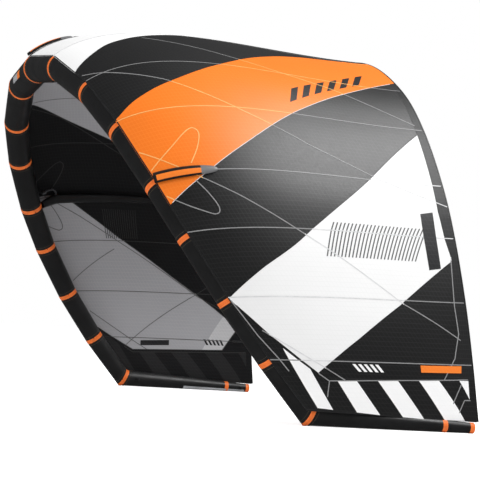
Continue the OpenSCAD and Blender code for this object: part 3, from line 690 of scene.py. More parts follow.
# ---------- Tapes, prints and seams on the canopy ----------
TAPE_STEP = 0.02


def tape_path(points):
    """Points along a path of (joint number, share), evenly close together on the cloth."""
    points = [np.array(p, float) for p in points]
    path = [points[0]]
    for p, q in zip(points, points[1:]):
        gap = np.linalg.norm(skin(*q) - skin(*p))
        count = max(int(np.ceil(gap / TAPE_STEP)), 1)
        path.extend(mix(p, q, k / count) for k in range(1, count + 1))
    return np.array(path)


def smooth_path(points, steps=6):
    """Rounded path through points."""
    p = np.array([points[0], *points, points[-1]], float)
    path = [p[1]]
    for k in range(1, len(p) - 2):
        path += [rounded(*p[k - 1:k + 3], t) for t in np.arange(1, steps + 1) / steps]
    return path


def tape(parts, points, width, low, high, marks):
    """Flat tape that follows a path on the skin, between two offsets from it."""
    path = tape_path(points)
    i, s = path.T
    out = skin_normal(i, s)
    middle = skin(i, s) + out * low
    along = unit(np.gradient(middle, axis=0))
    side = np.cross(out, along) * width / 2
    thick = out * (high - low)
    rings = np.stack([middle - side, middle + side, middle + side + thick, middle - side + thick], 1)
    far = np.concatenate([[0], np.cumsum(np.linalg.norm(np.diff(middle, axis=0), axis=1))])
    half = np.array([-1, 1, 1, -1]) * width / 2
    lay = [(f, h, 0) for f in far for h in half]
    vertices, faces = closed_tube(rings)
    if callable(marks):
        spans = [marks(*(path[j] + path[j + 1]) / 2) for j in range(len(path) - 1)]
        face_marks = [m for m in spans for _ in range(4)] + [spans[0], spans[-1]]
    else:
        face_marks = [marks] * len(faces)
    parts.add(vertices, faces, face_marks, lay)


SEAM_W, SEAM_T, PRINT_T = 0.005, 0.001, 0.0008
JOIN_W, INNER_JOIN_W, WELT_W = 0.003, 0.006, 0.006
OUT_FACE, IN_FACE = CANOPY_T / 2, -CANOPY_T / 2
OUTER_SEAMS = ["white", "black", "orange"]


def outer_mark(i, s):
    return OUTER_SEAMS.index(cloth_at(i, s))


def inner_mark(i, s):
    return 3 if cloth_at(i, s) == "white" else 4


SEAM_LOOKS = ["seam_on_white", "seam_on_black", "seam_on_orange", "seam_in_white_painted_shade", "seam_in_black"]
RIGHT_SEAMS = [
    [(1.84, 0.01), (2.06, 0.1), (2.42, 0.25), (3.07, 0.445), (3.54, 0.6), (3.98, 0.79), (4.4, 1)],
    [(1.23, 0.31), (1.73, 0.53), (2.26, 0.78), (2.91, 0.98)],
    [(3.56, 0.01), (4.46, 0.275), (5.05, 0.43), (6.06, 0.72), (6.6, 0.95)],
    [(6.05, 0.007), (6.62, 0.024), (6.99, 0.053), (7.2, 0.06)],
    [(6.53, 0.06), (7.09, 0.24), (7.33, 0.31)],
    [(7.36, 0.23), (7.64, 0.173)],
    [(7.22, 0.2), (7.35, 0.23), (7.3, 0.576), (7.25, 0.96)],
    [(5.3, 0.972), (6.05, 0.948), (6.5, 0.945), (6.9, 0.9), (7.27, 0.81)],
    [(7.34, 0.91), (7.68, 0.83)],
    [(7.61, 0.96), (7.61, 0.914), (7.84, 0.856)],
]
LEFT_SEAMS = [
    [(-5.79, 0.11), (-5.17, 0.39)],
    [(-6.43, 0.114), (-7.28, 0.33)],
    [(-7.18, 0.217), (-6.04, 0.705), (-5.8, 0.8)],
]
LOOP_ABOVE = [(3.88, 0.01), (3.62, 0.124), (3.38, 0.217), (3.37, 0.245), (3.47, 0.247), (3.67, 0.215),
              (3.88, 0.166)]
LOOP_BELOW = [(4.16, 0.148), (4.38, 0.167), (4.59, 0.177), (4.7, 0.173), (4.75, 0.157), (4.73, 0.135),
              (4.57, 0.072), (4.34, 0.01)]


def opposite(points):
    """The same places on the other wing."""
    return [(-i, s) for i, s in points]


def build_seams():
    """Stitched seams on both faces of the canopy: along the joints, across the wings and round the loops."""
    parts = Parts()
    joint_rows = np.linspace(0.004, 0.996, 40)
    seams = [[(i, s) for s in joint_rows] for i in range(1 - JOINTS, JOINTS)]
    seams += RIGHT_SEAMS + LEFT_SEAMS
    seams += [opposite(RIGHT_SEAMS[k]) for k in (0, 1, 2, 6)]
    seams += [smooth_path(p) for loop in (LOOP_ABOVE, LOOP_BELOW) for p in (loop, opposite(loop))]
    for seam in seams:
        tape(parts, seam, SEAM_W, OUT_FACE, OUT_FACE + SEAM_T, outer_mark)
        tape(parts, seam, SEAM_W, IN_FACE - SEAM_T, IN_FACE, inner_mark)
    parts.build("canopy_seams", *SEAM_LOOKS)


def build_edge_tapes():
    """Narrow tapes over the joins between cloths of two colours, and the welt along the leading edge."""
    parts = Parts()
    rows = row_edges(60, CORNERS)[1:-1]
    for edge, mark in ((RIGHT_CROWN, 1), (ORANGE_TOP, 1), (ORANGE_FOOT, 0), (WHITE_TOP, 1), (WHITE_FOOT, 1),
                       (LEFT_CROWN, 1), (LEFT_WHITE_TOP, 1), (LEFT_WHITE_FOOT, 1)):
        points = [(float(edge(s)), s) for s in rows]
        tape(parts, points, JOIN_W, OUT_FACE, OUT_FACE + 0.0009, mark)
        tape(parts, points, INNER_JOIN_W, IN_FACE - SEAM_T, IN_FACE, 2)
    parts.build("cloth_joins", "seam_on_white", "piping", "seam_in_black")
    welt = Parts()
    last = canopy_tip(0)
    edges = [[(i, 0.003) for i in np.linspace(-last, last, 240)]]
    for side in SIDES.values():
        edges.append([(side * float(canopy_tip(s)), s) for s in np.linspace(0.003, 0.995, 60)])
    for edge in edges:
        tape(welt, edge, WELT_W, 0.0004 - BAND_T - SKIN_GAP, OUT_FACE + 0.0002, 0)
    welt.build("edge_welt", "piping")


PATCH_COLUMN, PATCH_ROW = 0.055, 0.014


def patch(parts, corners, mark, low=OUT_FACE, high=OUT_FACE + PRINT_T):
    """Thin print or applied cloth with straight edges between its (joint number, share) corners."""
    corners = [np.array(p, float) for p in corners]
    turn = sum(p[0] * q[1] - q[0] * p[1] for p, q in zip(corners, corners[1:] + corners[:1]))
    if turn < 0:
        corners = corners[::-1]
    xs = [p[0] for p in corners]
    ys = [p[1] for p in corners]
    whole = [k for k in range(-JOINTS, JOINTS + 1) if min(xs) < k < max(xs)]
    even = np.linspace(min(xs), max(xs), max(int(np.ptp(xs) / PATCH_COLUMN), 1) + 1)
    cols = np.unique(np.concatenate([even, whole]))
    rows = np.linspace(min(ys), max(ys), max(int(np.ptp(ys) / PATCH_ROW), 1) + 1)
    cells = Cells()
    sides = list(zip(corners, corners[1:] + corners[:1]))
    for s0, s1 in zip(rows, rows[1:]):
        for i0, i1 in zip(cols, cols[1:]):
            cell = [np.array(p) for p in ((i0, s0), (i1, s0), (i1, s1), (i0, s1))]
            for a, b in sides:
                if cell:
                    cell = clip(cell, lambda p: (b[0] - a[0]) * (p[1] - a[1]) - (b[1] - a[1]) * (p[0] - a[0]))
            cells.add(cell)
    vertices, faces, _, lay = cells.slab(low, high)
    parts.add(vertices, faces, mark, lay)


def slanted_bars(parts, count, start, step, across_bar, down_bar, mark, **where):
    """Row of equal slanted bars."""
    for k in range(count):
        a = np.array(start) + k * np.array(step)
        patch(parts, [a, a + across_bar, a + np.add(across_bar, down_bar), a + down_bar], mark, **where)


STRIPES = [
    [(6.81, 0.104), (7.15, 0.173), (7.87, 0.159), (7.85, 0.078)],
    [(7.34, 0.271), (7.33, 0.363), (7.93, 0.393), (7.90, 0.279)],
    [(7.31, 0.464), (7.30, 0.562), (7.97, 0.623), (7.95, 0.509)],
    [(7.29, 0.67), (7.27, 0.777), (7.97, 0.888), (7.97, 0.746)],
    [(7.26, 0.901), (7.25, 0.962), (7.59, 0.953)],
]
INSIDE = {"low": IN_FACE - PRINT_T, "high": IN_FACE}
PRINT_LOOKS = ["print_white", "print_grey", "print_dark", "print_faint", "print_orange", "seam_in_black",
               "edge_inside"]
IN_WHITE, IN_GREY, IN_DARK, FAINT, IN_ORANGE, HATCHED, PALE_EDGE = range(len(PRINT_LOOKS))
BAR_ROW_TOP, BAR_ROW_FOOT = ((2.48, 0.623), (1.62, 0.919)), ((2.76, 0.612), (1.90, 0.90))


def build_tip_prints(parts):
    """Slanted stripes over both tips, and the plain bars above them."""
    for stripe in STRIPES:
        patch(parts, stripe, IN_WHITE)
        patch(parts, opposite(stripe), IN_WHITE)
        patch(parts, opposite(stripe), FAINT, **INSIDE)
    slanted_bars(parts, 5, (7.04, 0.383), (0, 0.026), (0.13, 0.012), (0.0, 0.014), IN_WHITE)
    orange_bar = [(7.03, 0.705), (7.02, 0.93), (7.14, 0.922), (7.15, 0.697)]
    patch(parts, orange_bar, IN_ORANGE, high=OUT_FACE + 0.0018)


def build_right_prints(parts):
    """Block of hatching with its dark bar on the white cloth, and a row of bars on the orange one."""
    for k in range(26):
        s = 0.52 + 0.0135 * k
        patch(parts, [(4.86, s + 0.042), (4.86, s + 0.0465), (5.4, s - 0.0335), (5.4, s - 0.038)], IN_GREY)
    patch(parts, [(4.58, 0.893), (4.53, 0.94), (5.49, 0.92), (5.52, 0.87)], IN_DARK, high=OUT_FACE + 0.0013)
    top, foot = np.array(BAR_ROW_TOP), np.array(BAR_ROW_FOOT)
    for start in np.arange(6) / 6:
        bar = [mix(*top, start + 0.07), mix(*top, start + 0.16), mix(*foot, start + 0.09), mix(*foot, start)]
        patch(parts, bar, IN_DARK)


def build_left_prints(parts):
    """Inside of the left wing: hatching, a dark bar, a row of bars and the pale trailing corner."""
    for k in range(16):
        s = 0.385 + 0.009 * k
        hatch = [(-4.3, s), (-4.3, s + 0.003), (-4.95, s - 0.012), (-4.95, s - 0.015)]
        patch(parts, hatch, HATCHED, **INSIDE)
    patch(parts, [(-7.06, 0.324), (-7.03, 0.49), (-7.15, 0.474), (-7.18, 0.304)], IN_DARK, **INSIDE)
    slanted_bars(parts, 5, (-6.98, 0.69), (0, 0.024), (-0.13, 0.008), (0.0, 0.013), IN_DARK, **INSIDE)
    corner = [(-6.45, 0.84), (-7.235, 0.66), (-7.205, 0.785), (-6.8, 0.895)]
    patch(parts, corner, PALE_EDGE, IN_FACE - PRINT_T / 2, IN_FACE)


def build_prints():
    parts = Parts()
    build_tip_prints(parts)
    build_right_prints(parts)
    build_left_prints(parts)
    parts.build("canopy_prints", *PRINT_LOOKS)


TRAILING_STRIP = [(2.0, 0.985), (3.0, 0.976), (3.96, 0.968), (4.5, 0.961), (5.03, 0.963), (5.3, 0.972),
                  (6.05, 0.948), (6.5, 0.945), (6.9, 0.9), (7.27, 0.81)]


def build_trailing_strips():
    """Second layer of cloth along the trailing edge, with its zig-zag front."""
    parts = Parts()
    corners, fronts = np.array(TRAILING_STRIP).T
    even = np.arange(2 * COLUMNS_PER_JOINT, JOINTS * COLUMNS_PER_JOINT) / COLUMNS_PER_JOINT
    columns = np.unique(np.concatenate([even, corners]))
    columns = columns[(columns >= corners[0]) & (columns <= corners[-1])]
    shares = np.linspace(0, 1, 9)
    for side in SIDES.values():
        i = side * columns[:, None]
        s = mix(np.interp(columns, corners, fronts)[:, None], 0.9995, shares)
        upper = skin(i, s, OUT_FACE + 0.0009)
        lower = skin(i, s, OUT_FACE)
        lay = np.stack([across(i) + 0 * s, s * CENTRE_CHORD, 0 * s], -1)
        vertices, faces = closed_tube(list(np.concatenate([upper, lower[:, ::-1]], 1)))
        parts.add(vertices, faces, 0, np.concatenate([lay, lay[:, ::-1]], 1).reshape(-1, 3))
    settle(parts.build("trailing_strips", "edge_cloth"), "canopy_cloth")


build_seams()
build_edge_tapes()
build_prints()
build_trailing_strips()


# ---------- Leading edge and tip tubes ----------
TUBE_SIDES = 48
SLEEVE_T = 0.0012
TUBE_LOOKS = ["tube", "tube_inside"]
RING_SPANS = ((0, 0.18), (0.18, 0.82), (0.82, 1))
RING_SHARES = np.unique(np.concatenate([np.linspace(low, high, 10) for low, high in RING_SPANS]))
TUBE_ANGLES = 2 * np.pi * np.arange(TUBE_SIDES) / TUBE_SIDES


def tube_frame(k):
    """Directions square to a tube length: away from the kite, and towards the trailing edge."""
    along = TUBE_DIRS[k]
    out = unit(NORMALS[k] - along * np.dot(NORMALS[k], along))
    return out, np.cross(along, out)


def sleeve_rings(k, start, end, r_start, r_end, cut_start, cut_end, wall):
    """Rings along one length, mitred at both ends, with puckers close to each seam."""
    out, side = tube_frame(k)
    along = unit(end - start)
    rings = []
    length = np.linalg.norm(end - start)
    for t in RING_SHARES:
        ring = []
        for a in TUBE_ANGLES:
            e = out * np.cos(a) + side * np.sin(a)
            p = start + e * r_start - along * np.dot(e * r_start, cut_start) / np.dot(along, cut_start)
            q = end + e * r_end - along * np.dot(e * r_end, cut_end) / np.dot(along, cut_end)
            near = min(t, 1 - t) * length
            fade = np.exp(-near / 0.022) * min(near / 0.004, 1)
            crease = np.sin(a * 17 + 2.3 * k + 9 * t) * (0.6 + 0.4 * np.sin(5 * a + k))
            inward = max(-np.dot(e, NORMALS[k]), 0) ** 2
            swell = 0.0008 * np.sin(np.pi * t)
            dent = (0.0008 + 0.0014 * inward) * crease * fade + 0.0005 * np.exp(-near / 0.01)
            ring.append(mix(p, q, t) + e * (swell - dent - wall))
        rings.append(np.array(ring))
    return rings


def build_sleeve(name, k, side, node):
    """One length of the leading edge, or the tip tube after its last joint."""
    last = k == JOINTS
    start = LEADING[k]
    end = TIP_END if last else LEADING[k + 1]
    r_start = tube_r(k) - (0.0006 if last else 0)
    r_end = TUBE_R_END if last else tube_r(k + 1)
    cuts = (CUT_DIRS[k], TUBE_DIRS[-1] if last else CUT_DIRS[k + 1])
    along = unit(end - start)
    ends = (start + along * 0.0003, end - along * 0.0003, r_start, r_end, *cuts)
    outer = sleeve_rings(k, *ends, 0.0)
    inner = sleeve_rings(k, *ends, SLEEVE_T - 0.0003)
    vertices, faces = mirrored(*shell(outer, inner), side)
    half = len(outer) * TUBE_SIDES
    marks = [1 if min(f) >= half else 0 for f in faces]
    lay = [(t * 0.35 + k, 0.07 * a, 0) for t in RING_SHARES for a in TUBE_ANGLES] * 2
    settle(make_object(name, vertices, faces, TUBE_LOOKS, marks, lay), "tube_dacron", node)


def build_sleeves():
    for word, side in SIDES.items():
        for k in range(JOINTS):
            build_sleeve(f"sleeve_{word}_{k + 1}", k, side, f"le_{word}_{k + 1}")
        build_sleeve(f"tip_sleeve_{word}", JOINTS, side, f"tip_tube_{word}")


def mitre_ring(centre, along, out, r, cut, distance, taper, rise=0.0):
    """Ring round a tube, parallel to the joint's plane and a distance from it."""
    side = np.cross(along, out)
    ring = []
    for a in TUBE_ANGLES:
        e = out * np.cos(a) + side * np.sin(a)
        far = distance - np.dot(e, cut) / np.dot(along, cut) * r
        ring.append(centre + e * (r + taper * far + rise) + along * far)
    return np.array(ring)


BAND_SLACK, STITCH_AT = 0.00025, 0.028
BAND_PROFILE = [(0, 0), (0.4, 0.0001), (0.8, 0), (0.94, -0.0002), (1, -0.0005)]


def half_band(parts, centre, along, out, r, cut, taper, side):
    """Orange tape round a tube, from the joint's plane to half the tape's width."""
    rings = []
    for rises in ([BAND_T + rise for _, rise in BAND_PROFILE], [BAND_SLACK] * len(BAND_PROFILE)):
        rings.append([mitre_ring(centre, along, out, r, cut, BAND_W / 2 * d, taper, rise)
                      for (d, _), rise in zip(BAND_PROFILE, rises)])
    vertices, faces = mirrored(*shell(*rings), side)
    lay = [(r * a, BAND_W / 2 * d, 0) for d, _ in BAND_PROFILE for a in TUBE_ANGLES] * 2
    parts.add(vertices, faces, 0, lay)


def stitch_ring(parts, centre, along, out, r, cut, taper, side):
    """Row of stitches round a tube, parallel to a band."""
    rings = [mitre_ring(centre, along, out, r, cut, STITCH_AT + d, taper, rise)
             for rise in (-0.0008, 0.0009) for d in (-0.0006, 0.0006)]
    faces = [(3, 2, 1, 0), (4, 5, 6, 7), (0, 1, 5, 4), (1, 2, 6, 5), (2, 3, 7, 6), (3, 0, 4, 7)]
    for j in range(TUBE_SIDES):
        begin = [ring[j] for ring in rings]
        stop = [mix(ring[j], ring[(j + 1) % TUBE_SIDES], 0.7) for ring in rings]
        box = [begin[0], stop[0], stop[1], begin[1], begin[2], stop[2], stop[3], begin[3]]
        parts.add(*mirrored(box, faces, side), 0)


def taper_along(length, way):
    """Growth of a tube's radius for each metre one way along a length."""
    if length == JOINTS:
        return way * (TUBE_R_END - TUBE_R_CORNER) / TIP_TUBE
    run = np.linalg.norm(LEADING[length + 1] - LEADING[length])
    return way * (tube_r(length + 1) - tube_r(length)) / run


def build_bands():
    centre_band, threads = Parts(), Parts()
    for word, side in SIDES.items():
        bands = Parts()
        for k in range(JOINTS + 1):
            ways = [(k, 1)] if k == 0 else [(k - 1, -1), (k, 1)]
            for length, way in ways:
                along = TUBE_DIRS[length] * way
                out, _ = tube_frame(length)
                seam = (LEADING[k], along, out, tube_r(k), CUT_DIRS[k] * way, taper_along(length, way), side)
                half_band(bands if k else centre_band, *seam)
                stitch_ring(threads, *seam)
        rear = mix(LEADING[-1], TIP_END, REAR_BAND_AT)
        r = mix(TUBE_R_CORNER, TUBE_R_END, REAR_BAND_AT) + 0.0004
        out, _ = tube_frame(JOINTS)
        for way in (-1, 1):
            along = TUBE_DIRS[-1] * way
            half_band(bands, rear, along, out, r, along, 0.0, side)
        settle(bands.build(f"band_tapes_{word}", "band"), "seam_tape", f"seam_bands_{word}")
    settle(centre_band.build("band_tape_center", "band"), "seam_tape", "seam_band_center")
    settle(threads.build("tube_stitches", "thread_tan"), "tube_dacron")


CAP_LEN = 0.024


def build_tip_caps():
    """Orange fabric caps with rounded ends over the tip tubes."""
    parts = Parts()
    along = TUBE_DIRS[-1]
    out, side_dir = tube_frame(JOINTS)
    r = TUBE_R_END + BAND_T + 0.0006
    mouth = 0.002 - CAP_LEN
    profile = [(-CAP_LEN, r - 0.0002), (mouth, r), (-0.002, r), (0.0006, r - 0.0008), (0.0022, r - 0.004),
               (0.003, r * 0.6), (0.003, r * 0.2)]
    inner = [(-CAP_LEN, r - 0.0005), (mouth, r - 0.0005), (-0.002, r - 0.0005), (0.0001, r - 0.0014),
             (0.0004, r - 0.005), (0.0004, r * 0.6), (0.0004, r * 0.2)]
    button = [(0.0004, r * 0.2 + 0.0006), (0.0034, r * 0.2 + 0.0006)]

    def rings(shape):
        return [np.array([TIP_END + along * d + radius * (out * np.cos(a) + side_dir * np.sin(a))
                          for a in TUBE_ANGLES]) for d, radius in shape]

    lay = [(r * a, d + CAP_LEN / 2, 0) for d, _ in profile for a in TUBE_ANGLES]
    for side in SIDES.values():
        parts.add(*mirrored(*shell(rings(profile), rings(inner)), side), 0, lay * 2)
        parts.add(*mirrored(*closed_tube(rings(button)), side), 0)
    settle(parts.build("tip_end_caps", "cap_orange"), "tip_cap", "tip_caps")


def arc_strip(centre, out, side, degrees, low, high):
    """Outline of a thin strip's section, along an arc round a tube."""
    arc = [out * np.cos(a) + side * np.sin(a) for a in np.radians(np.linspace(*degrees))]
    return np.array([centre + e * high for e in arc] + [centre + e * low for e in arc[::-1]])


def build_tip_strips():
    """Pale strip of scuff cloth along the inner side of each tip tube."""
    parts = Parts()
    along = TUBE_DIRS[-1]
    out, side_dir = tube_frame(JOINTS)
    for side in SIDES.values():
        rows = []
        for t in np.linspace(0.47, 0.96, 26):
            centre = mix(LEADING[-1], TIP_END, t)
            r = mix(TUBE_R_CORNER, TUBE_R_END, t)
            rows.append(arc_strip(centre, out, side_dir, (115, 152, 7), r - 0.0003, r + 0.0012))
        parts.add(*mirrored(*closed_tube(rows), side), 0, even_lay(26, 14, 0.4 / 26, 0.004))
    settle(parts.build("tip_scuff_strips", "silver"), "tube_dacron")


build_sleeves()
build_bands()
build_tip_caps()
build_tip_strips()


# ---------- Struts ----------
STRUT_FIRST, STRUT_STEPS, PANEL_ROWS, STRUT_GAP = 5, 11, 16, 0.0012
STRUT_SIDES = 36
STRUT_LAY = (0.024, 0.16 / STRUT_SIDES)
FLANGE_W, FLANGE_AT, SADDLE_W = 0.012, 0.045, 0.014
STRUTS = [("center", 0, 1), ("left", STRUT_JOINT, -1), ("right", STRUT_JOINT, 1)]


def stretch(i):
    """How much wider a tube is along the chord than straight across."""
    return 1 / np.linalg.norm(np.cross(section(i)[2], unit(at(CUT_DIRS, i))))


def strut_key(i, j):
    """Chordwise place, height and radius of a strut at its ring j, in the section plane."""
    if j == 0:
        return np.array([(tube_r(i) + BAND_T) * stretch(i) + 0.003, tube_r(i) * 0.35, STRUT_R_NECK])
    r = mix(STRUT_R_FRONT, STRUT_R_TAIL, ((j - 1) / (STRUT_STEPS - 1)) ** 1.5)
    s = ((STRUT_FIRST + j - 1) / PANEL_ROWS) ** 1.5
    return np.array([*camber(np.float64(i), np.float64(s), -CANOPY_T / 2 - STRUT_GAP - r), r])


def strut_rings(i, wall):
    keys = np.array([strut_key(i, j) for j in range(STRUT_STEPS + 1)])
    fine = np.array(smooth_path([tuple(k) for k in keys], 5))
    slope = unit(np.gradient(fine[:, :2], axis=0))
    front, _, c, n, b = section(float(i))
    rings = []
    for row, (x, y, r) in enumerate(fine):
        d = slope[row]
        up = n * d[0] - c * d[1]
        gather = np.exp(-row / 1.6) * 0.0009
        ring = []
        for a in 2 * np.pi * np.arange(STRUT_SIDES) / STRUT_SIDES:
            radius = r - wall - gather * (1 + np.sin(a * 9)) - (0.0004 if row % 5 == 0 else 0)
            ring.append(front + c * x + n * y + (up * np.cos(a) + b * np.sin(a)) * radius)
        rings.append(np.array(ring))
    return rings


def strut_end(rings, shrink, reach):
    """Extra rings that round off the end of a strut."""
    last, before = rings[-1], rings[-2]
    centre = last.mean(0)
    along = unit(centre - before.mean(0))
    return [centre + (last - centre) * k + along * reach * d for k, d in shrink]


def build_struts():
    round_end = [(0.92, 0.35), (0.72, 0.65), (0.4, 0.85), (0.12, 0.9)]
    for word, i, side in STRUTS:
        outer, inner = strut_rings(i, 0.0), strut_rings(i, SLEEVE_T)
        outer += strut_end(outer, round_end, 0.008)
        inner += strut_end(inner, [(k * 0.97, d - 0.12) for k, d in round_end], 0.008)
        vertices, faces = mirrored(*shell(outer, inner), side)
        half = len(outer) * STRUT_SIDES
        marks = [1 if min(f) >= half else 0 for f in faces]
        lay = even_lay(len(outer), STRUT_SIDES, *STRUT_LAY) * 2
        piece = make_object(f"strut_tube_{word}", vertices, faces, TUBE_LOOKS, marks, lay)
        settle(piece, "strut_dacron", f"strut_{word}")


def build_strut_air_tubes():
    parts = Parts()
    for _, i, side in STRUTS:
        rings = strut_rings(i, SLEEVE_T + 0.003)[2:-2]
        lay = even_lay(len(rings), STRUT_SIDES, *STRUT_LAY)
        parts.add(*mirrored(*closed_tube(rings), side), 0, lay)
    settle(parts.build("strut_air_tubes", "film"), "bladder_film", "strut_bladders")


def build_strut_flanges():
    """Cloth strips that join each strut to the canopy: one on each side, and one along the top."""
    parts = Parts()
    shares = np.linspace(0.19, 0.985, 40)
    for i in (0, STRUT_JOINT, -STRUT_JOINT):
        for shift in (-FLANGE_AT, FLANGE_AT):
            tape(parts, [(i + shift, s) for s in shares], FLANGE_W, IN_FACE - 0.0011, IN_FACE, 0)
        tape(parts, [(i, s) for s in shares], SADDLE_W, IN_FACE - STRUT_GAP - 0.0006, IN_FACE, 0)
    parts.build("strut_flanges", "piping")


NOSE_W, NOSE_H, NOSE_SIDES, NOSE_STEPS = 0.030, 0.017, 24, 40
NOSE_FROM, NOSE_RUN, CENTRE_NOSE_RUN, TAIL_FROM = 0.004, 0.24, 0.185, 0.74
# First and last column of the orange stripe: in the middle at the centre, nearer the tip on the sides
CENTRE_STRIPE, SIDE_STRIPE = (7, 16), (5, 12)


def nose_rings(i, run):
    """Half-round rings along the canopy, narrower towards the tail, and their places on the flat cloth."""
    front, _, c, n, b = section(float(i))
    angles = np.pi * np.arange(NOSE_SIDES, -1, -1) / NOSE_SIDES
    rings, lay = [], []
    for v in np.linspace(0, 1, NOSE_STEPS + 1):
        s = NOSE_FROM + run * v
        k = np.sqrt(max(1 - v ** 3.2, 0)) * mix(1, 0.86, v) + 0.24 * v
        p = camber(np.float64(i), np.float64(s), CANOPY_T / 2 + SKIN_GAP)
        d = bezier_slope(camber_ends(float(i)), s)
        up = (n * d[0] - c * d[1]) * NOSE_H * k
        base = front + c * p[0] + n * p[1]
        rings.append(np.array([base + up * np.sin(a) + b * NOSE_W * k * np.cos(a) for a in angles]))
        lay += [(v * 0.3, NOSE_W * a, 0) for a in angles]
    return rings, lay


def build_noses():
    """Raised fairings over the struts' fronts: black, with an orange stripe and a grey tail."""
    for word, i, side in STRUTS:
        rings, lay = nose_rings(i, NOSE_RUN if i else CENTRE_NOSE_RUN)
        low, high = SIDE_STRIPE if i else CENTRE_STRIPE
        marks = []
        for j in range(NOSE_STEPS):
            for k in range(NOSE_SIDES + 1):
                striped = j > 1 and low <= k <= high
                marks.append(2 if j > TAIL_FROM * NOSE_STEPS else int(striped))
        marks += [0, 2]
        vertices, faces = mirrored(*closed_tube(rings), side)
        looks = ["tube", "print_orange", "nose_grey"]
        piece = make_object(f"nose_cover_{word}", vertices, faces, looks, marks, lay)
        settle(piece, "nose_cover", f"nose_{word}")


def build_hems():
    """Folded hems along the trailing edge."""
    upper = [(0.0004, 0.0012), (0.003, 0.0016), (0.006, 0.0014), (0.0078, 0.0007)]
    profile = [*upper, (0.008, 0), *((back, -off) for back, off in upper[::-1])]
    for word, side in SIDES.items():
        rings, lay = [], []
        for i in np.linspace(0.0004, float(canopy_tip(1)), 160):
            front, _, c, n, _ = section(i)
            ring = []
            for back, off in profile:
                p = camber(i, np.float64(1.0), off)
                ring.append(front + c * (p[0] + back) + n * p[1])
                lay.append((across(i), back - HEM_W / 2, 0))
            rings.append(np.array(ring))
        hem = Parts()
        hem.add(*mirrored(*closed_tube(rings), side), 0, lay)
        settle(hem.build(f"hem_tape_{word}", "edge_cloth"), "hem_tape", f"trailing_hem_{word}")


ROD_LEN = 0.128


def build_batten_pockets():
    """Short pockets over the stiffening rods at the trailing edge."""
    parts = Parts()
    for k in range(4, JOINTS):
        for side in SIDES.values():
            length = float(section(float(k))[1])
            path = [(side * k, s) for s in np.linspace(0.99 - ROD_LEN / length, 0.993, 8)]
            tape(parts, path, 0.012, IN_FACE - 0.0046, IN_FACE - 0.0002, 0)
    parts.build("batten_pockets", "webbing")


def build_front_patch():
    """Small plain patch on the leading edge, one end orange and the rest grey."""
    parts = Parts()
    out, _ = tube_frame(0)
    forward = unit(np.cross(TUBE_DIRS[0], out))
    for mark, (low, high) in enumerate(((0.44, 0.70), (0.30, 0.44))):
        rows = []
        for t in np.linspace(high, low, 9):
            centre = mix(LEADING[0], LEADING[1], t)
            r = tube_r(t) + 0.0009
            rows.append(arc_strip(centre, out, forward, (78, 108, 6), r - 0.0006, r + 0.0004))
        parts.add(*mirrored(*closed_tube(rows), -1), mark, even_lay(9, 12, 0.01, 0.004))
    settle(parts.build("front_patch", "silver", "print_orange"), "tube_dacron")


build_struts()
build_strut_air_tubes()
build_strut_flanges()
build_noses()
build_hems()
build_batten_pockets()
build_front_patch()

# ---------- CAD nodes that stay as they are ----------
KEPT = {
    "le_bladder": ("film", "bladder_film"),
    "air_hoses": ("hose", "hose"), "hose_clamps": ("clamp", "clamp_plastic"),
    "clamp_lever_center": ("lever", "lever_plastic"), "clamp_lever_left": ("lever", "lever_plastic"),
    "clamp_lever_right": ("lever", "lever_plastic"), "inflate_valve": ("rubber", "valve_rubber"),
    "dump_valve": ("rubber", "valve_rubber"), "inflate_cap": ("rubber_cap", "valve_cap"),
    "dump_cap": ("rubber_cap", "valve_cap"), "line_loops": ("webbing", "webbing"),
    "trailing_battens": ("rod", "batten_rod"),
}
for node, (look, slot) in KEPT.items():
    obj = bpy.data.objects[node]
    obj.data.materials.clear()
    obj.data.materials.append(LOOKS[look])


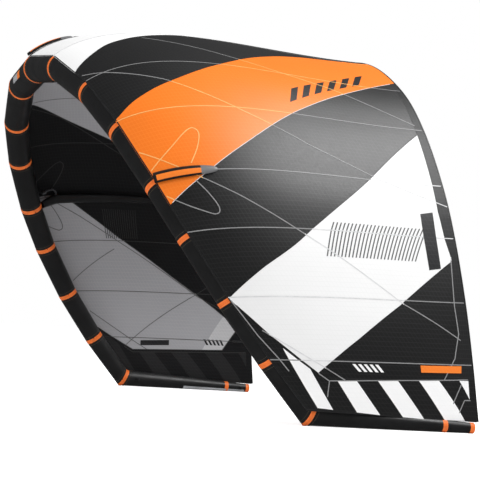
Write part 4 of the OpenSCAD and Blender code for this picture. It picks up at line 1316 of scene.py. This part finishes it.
# ---------- Studio ----------
def build_floor():
    bpy.ops.mesh.primitive_plane_add(size=60, location=(0, 0, 0))
    floor = bpy.context.object
    floor.name = "studio_floor"
    look = Look("floor_white", 0.9, 0.1)
    look.colour(look.blend(look.noise(0.4, 2), (0.93, 0.93, 0.93), (0.96, 0.96, 0.96)))
    path = look.tree.nodes.new("ShaderNodeLightPath")
    glow = look.maths("MULTIPLY", path.outputs["Is Camera Ray"], 0.62)
    look.put(look.shader.inputs["Emission Strength"], glow)
    look.shader.inputs["Emission Color"].default_value = (1, 1, 1, 1)
    floor.data.materials.append(look.material)
    floor.visible_glossy = False


def add_softbox(name, at_point, aim, size, power, mirrored_too=False):
    data = bpy.data.lights.new(name, "AREA")
    data.shape, data.size, data.size_y, data.energy = "RECTANGLE", size[0], size[1], power
    light = bpy.data.objects.new(name, data)
    light.location = at_point
    light.rotation_euler = (Vector(aim) - Vector(at_point)).to_track_quat("-Z", "Y").to_euler()
    light.visible_glossy = mirrored_too
    bpy.context.scene.collection.objects.link(light)


def light_room():
    world = bpy.data.worlds.new("studio")
    bpy.context.scene.world = world
    world.use_nodes = True
    nodes, links = world.node_tree.nodes, world.node_tree.links
    path = nodes.new("ShaderNodeLightPath")
    mirrored_light = nodes.new("ShaderNodeMapRange")
    mirrored_light.inputs["To Min"].default_value, mirrored_light.inputs["To Max"].default_value = 0.54, 0.10
    links.new(path.outputs["Is Glossy Ray"], mirrored_light.inputs["Value"])
    strength = nodes.new("ShaderNodeMapRange")
    strength.inputs["To Max"].default_value = 1.0
    links.new(mirrored_light.outputs[0], strength.inputs["To Min"])
    links.new(path.outputs["Is Camera Ray"], strength.inputs["Value"])
    links.new(strength.outputs[0], nodes["Background"].inputs["Strength"])
    nodes["Background"].inputs["Color"].default_value = (1, 1, 1, 1)
    bpy.context.scene.view_settings.view_transform = "Standard"
    add_softbox("key_light", (2.5, 3.6, 6.6), (1.4, 0.3, 1.3), (4.0, 3.0), 400, True)
    add_softbox("top_light", (4.0, -5.5, 5.5), (0.3, -0.4, 1.6), (2.5, 2.0), 120)
    add_softbox("left_light", (-4.0, -2.0, 6.0), (-0.5, -0.3, 1.8), (2.5, 2.5), 150)
    add_softbox("front_light", (3.0, -7.0, 2.5), (0, -0.6, 1.0), (0.9, 3.5), 25)


build_floor()
light_room()
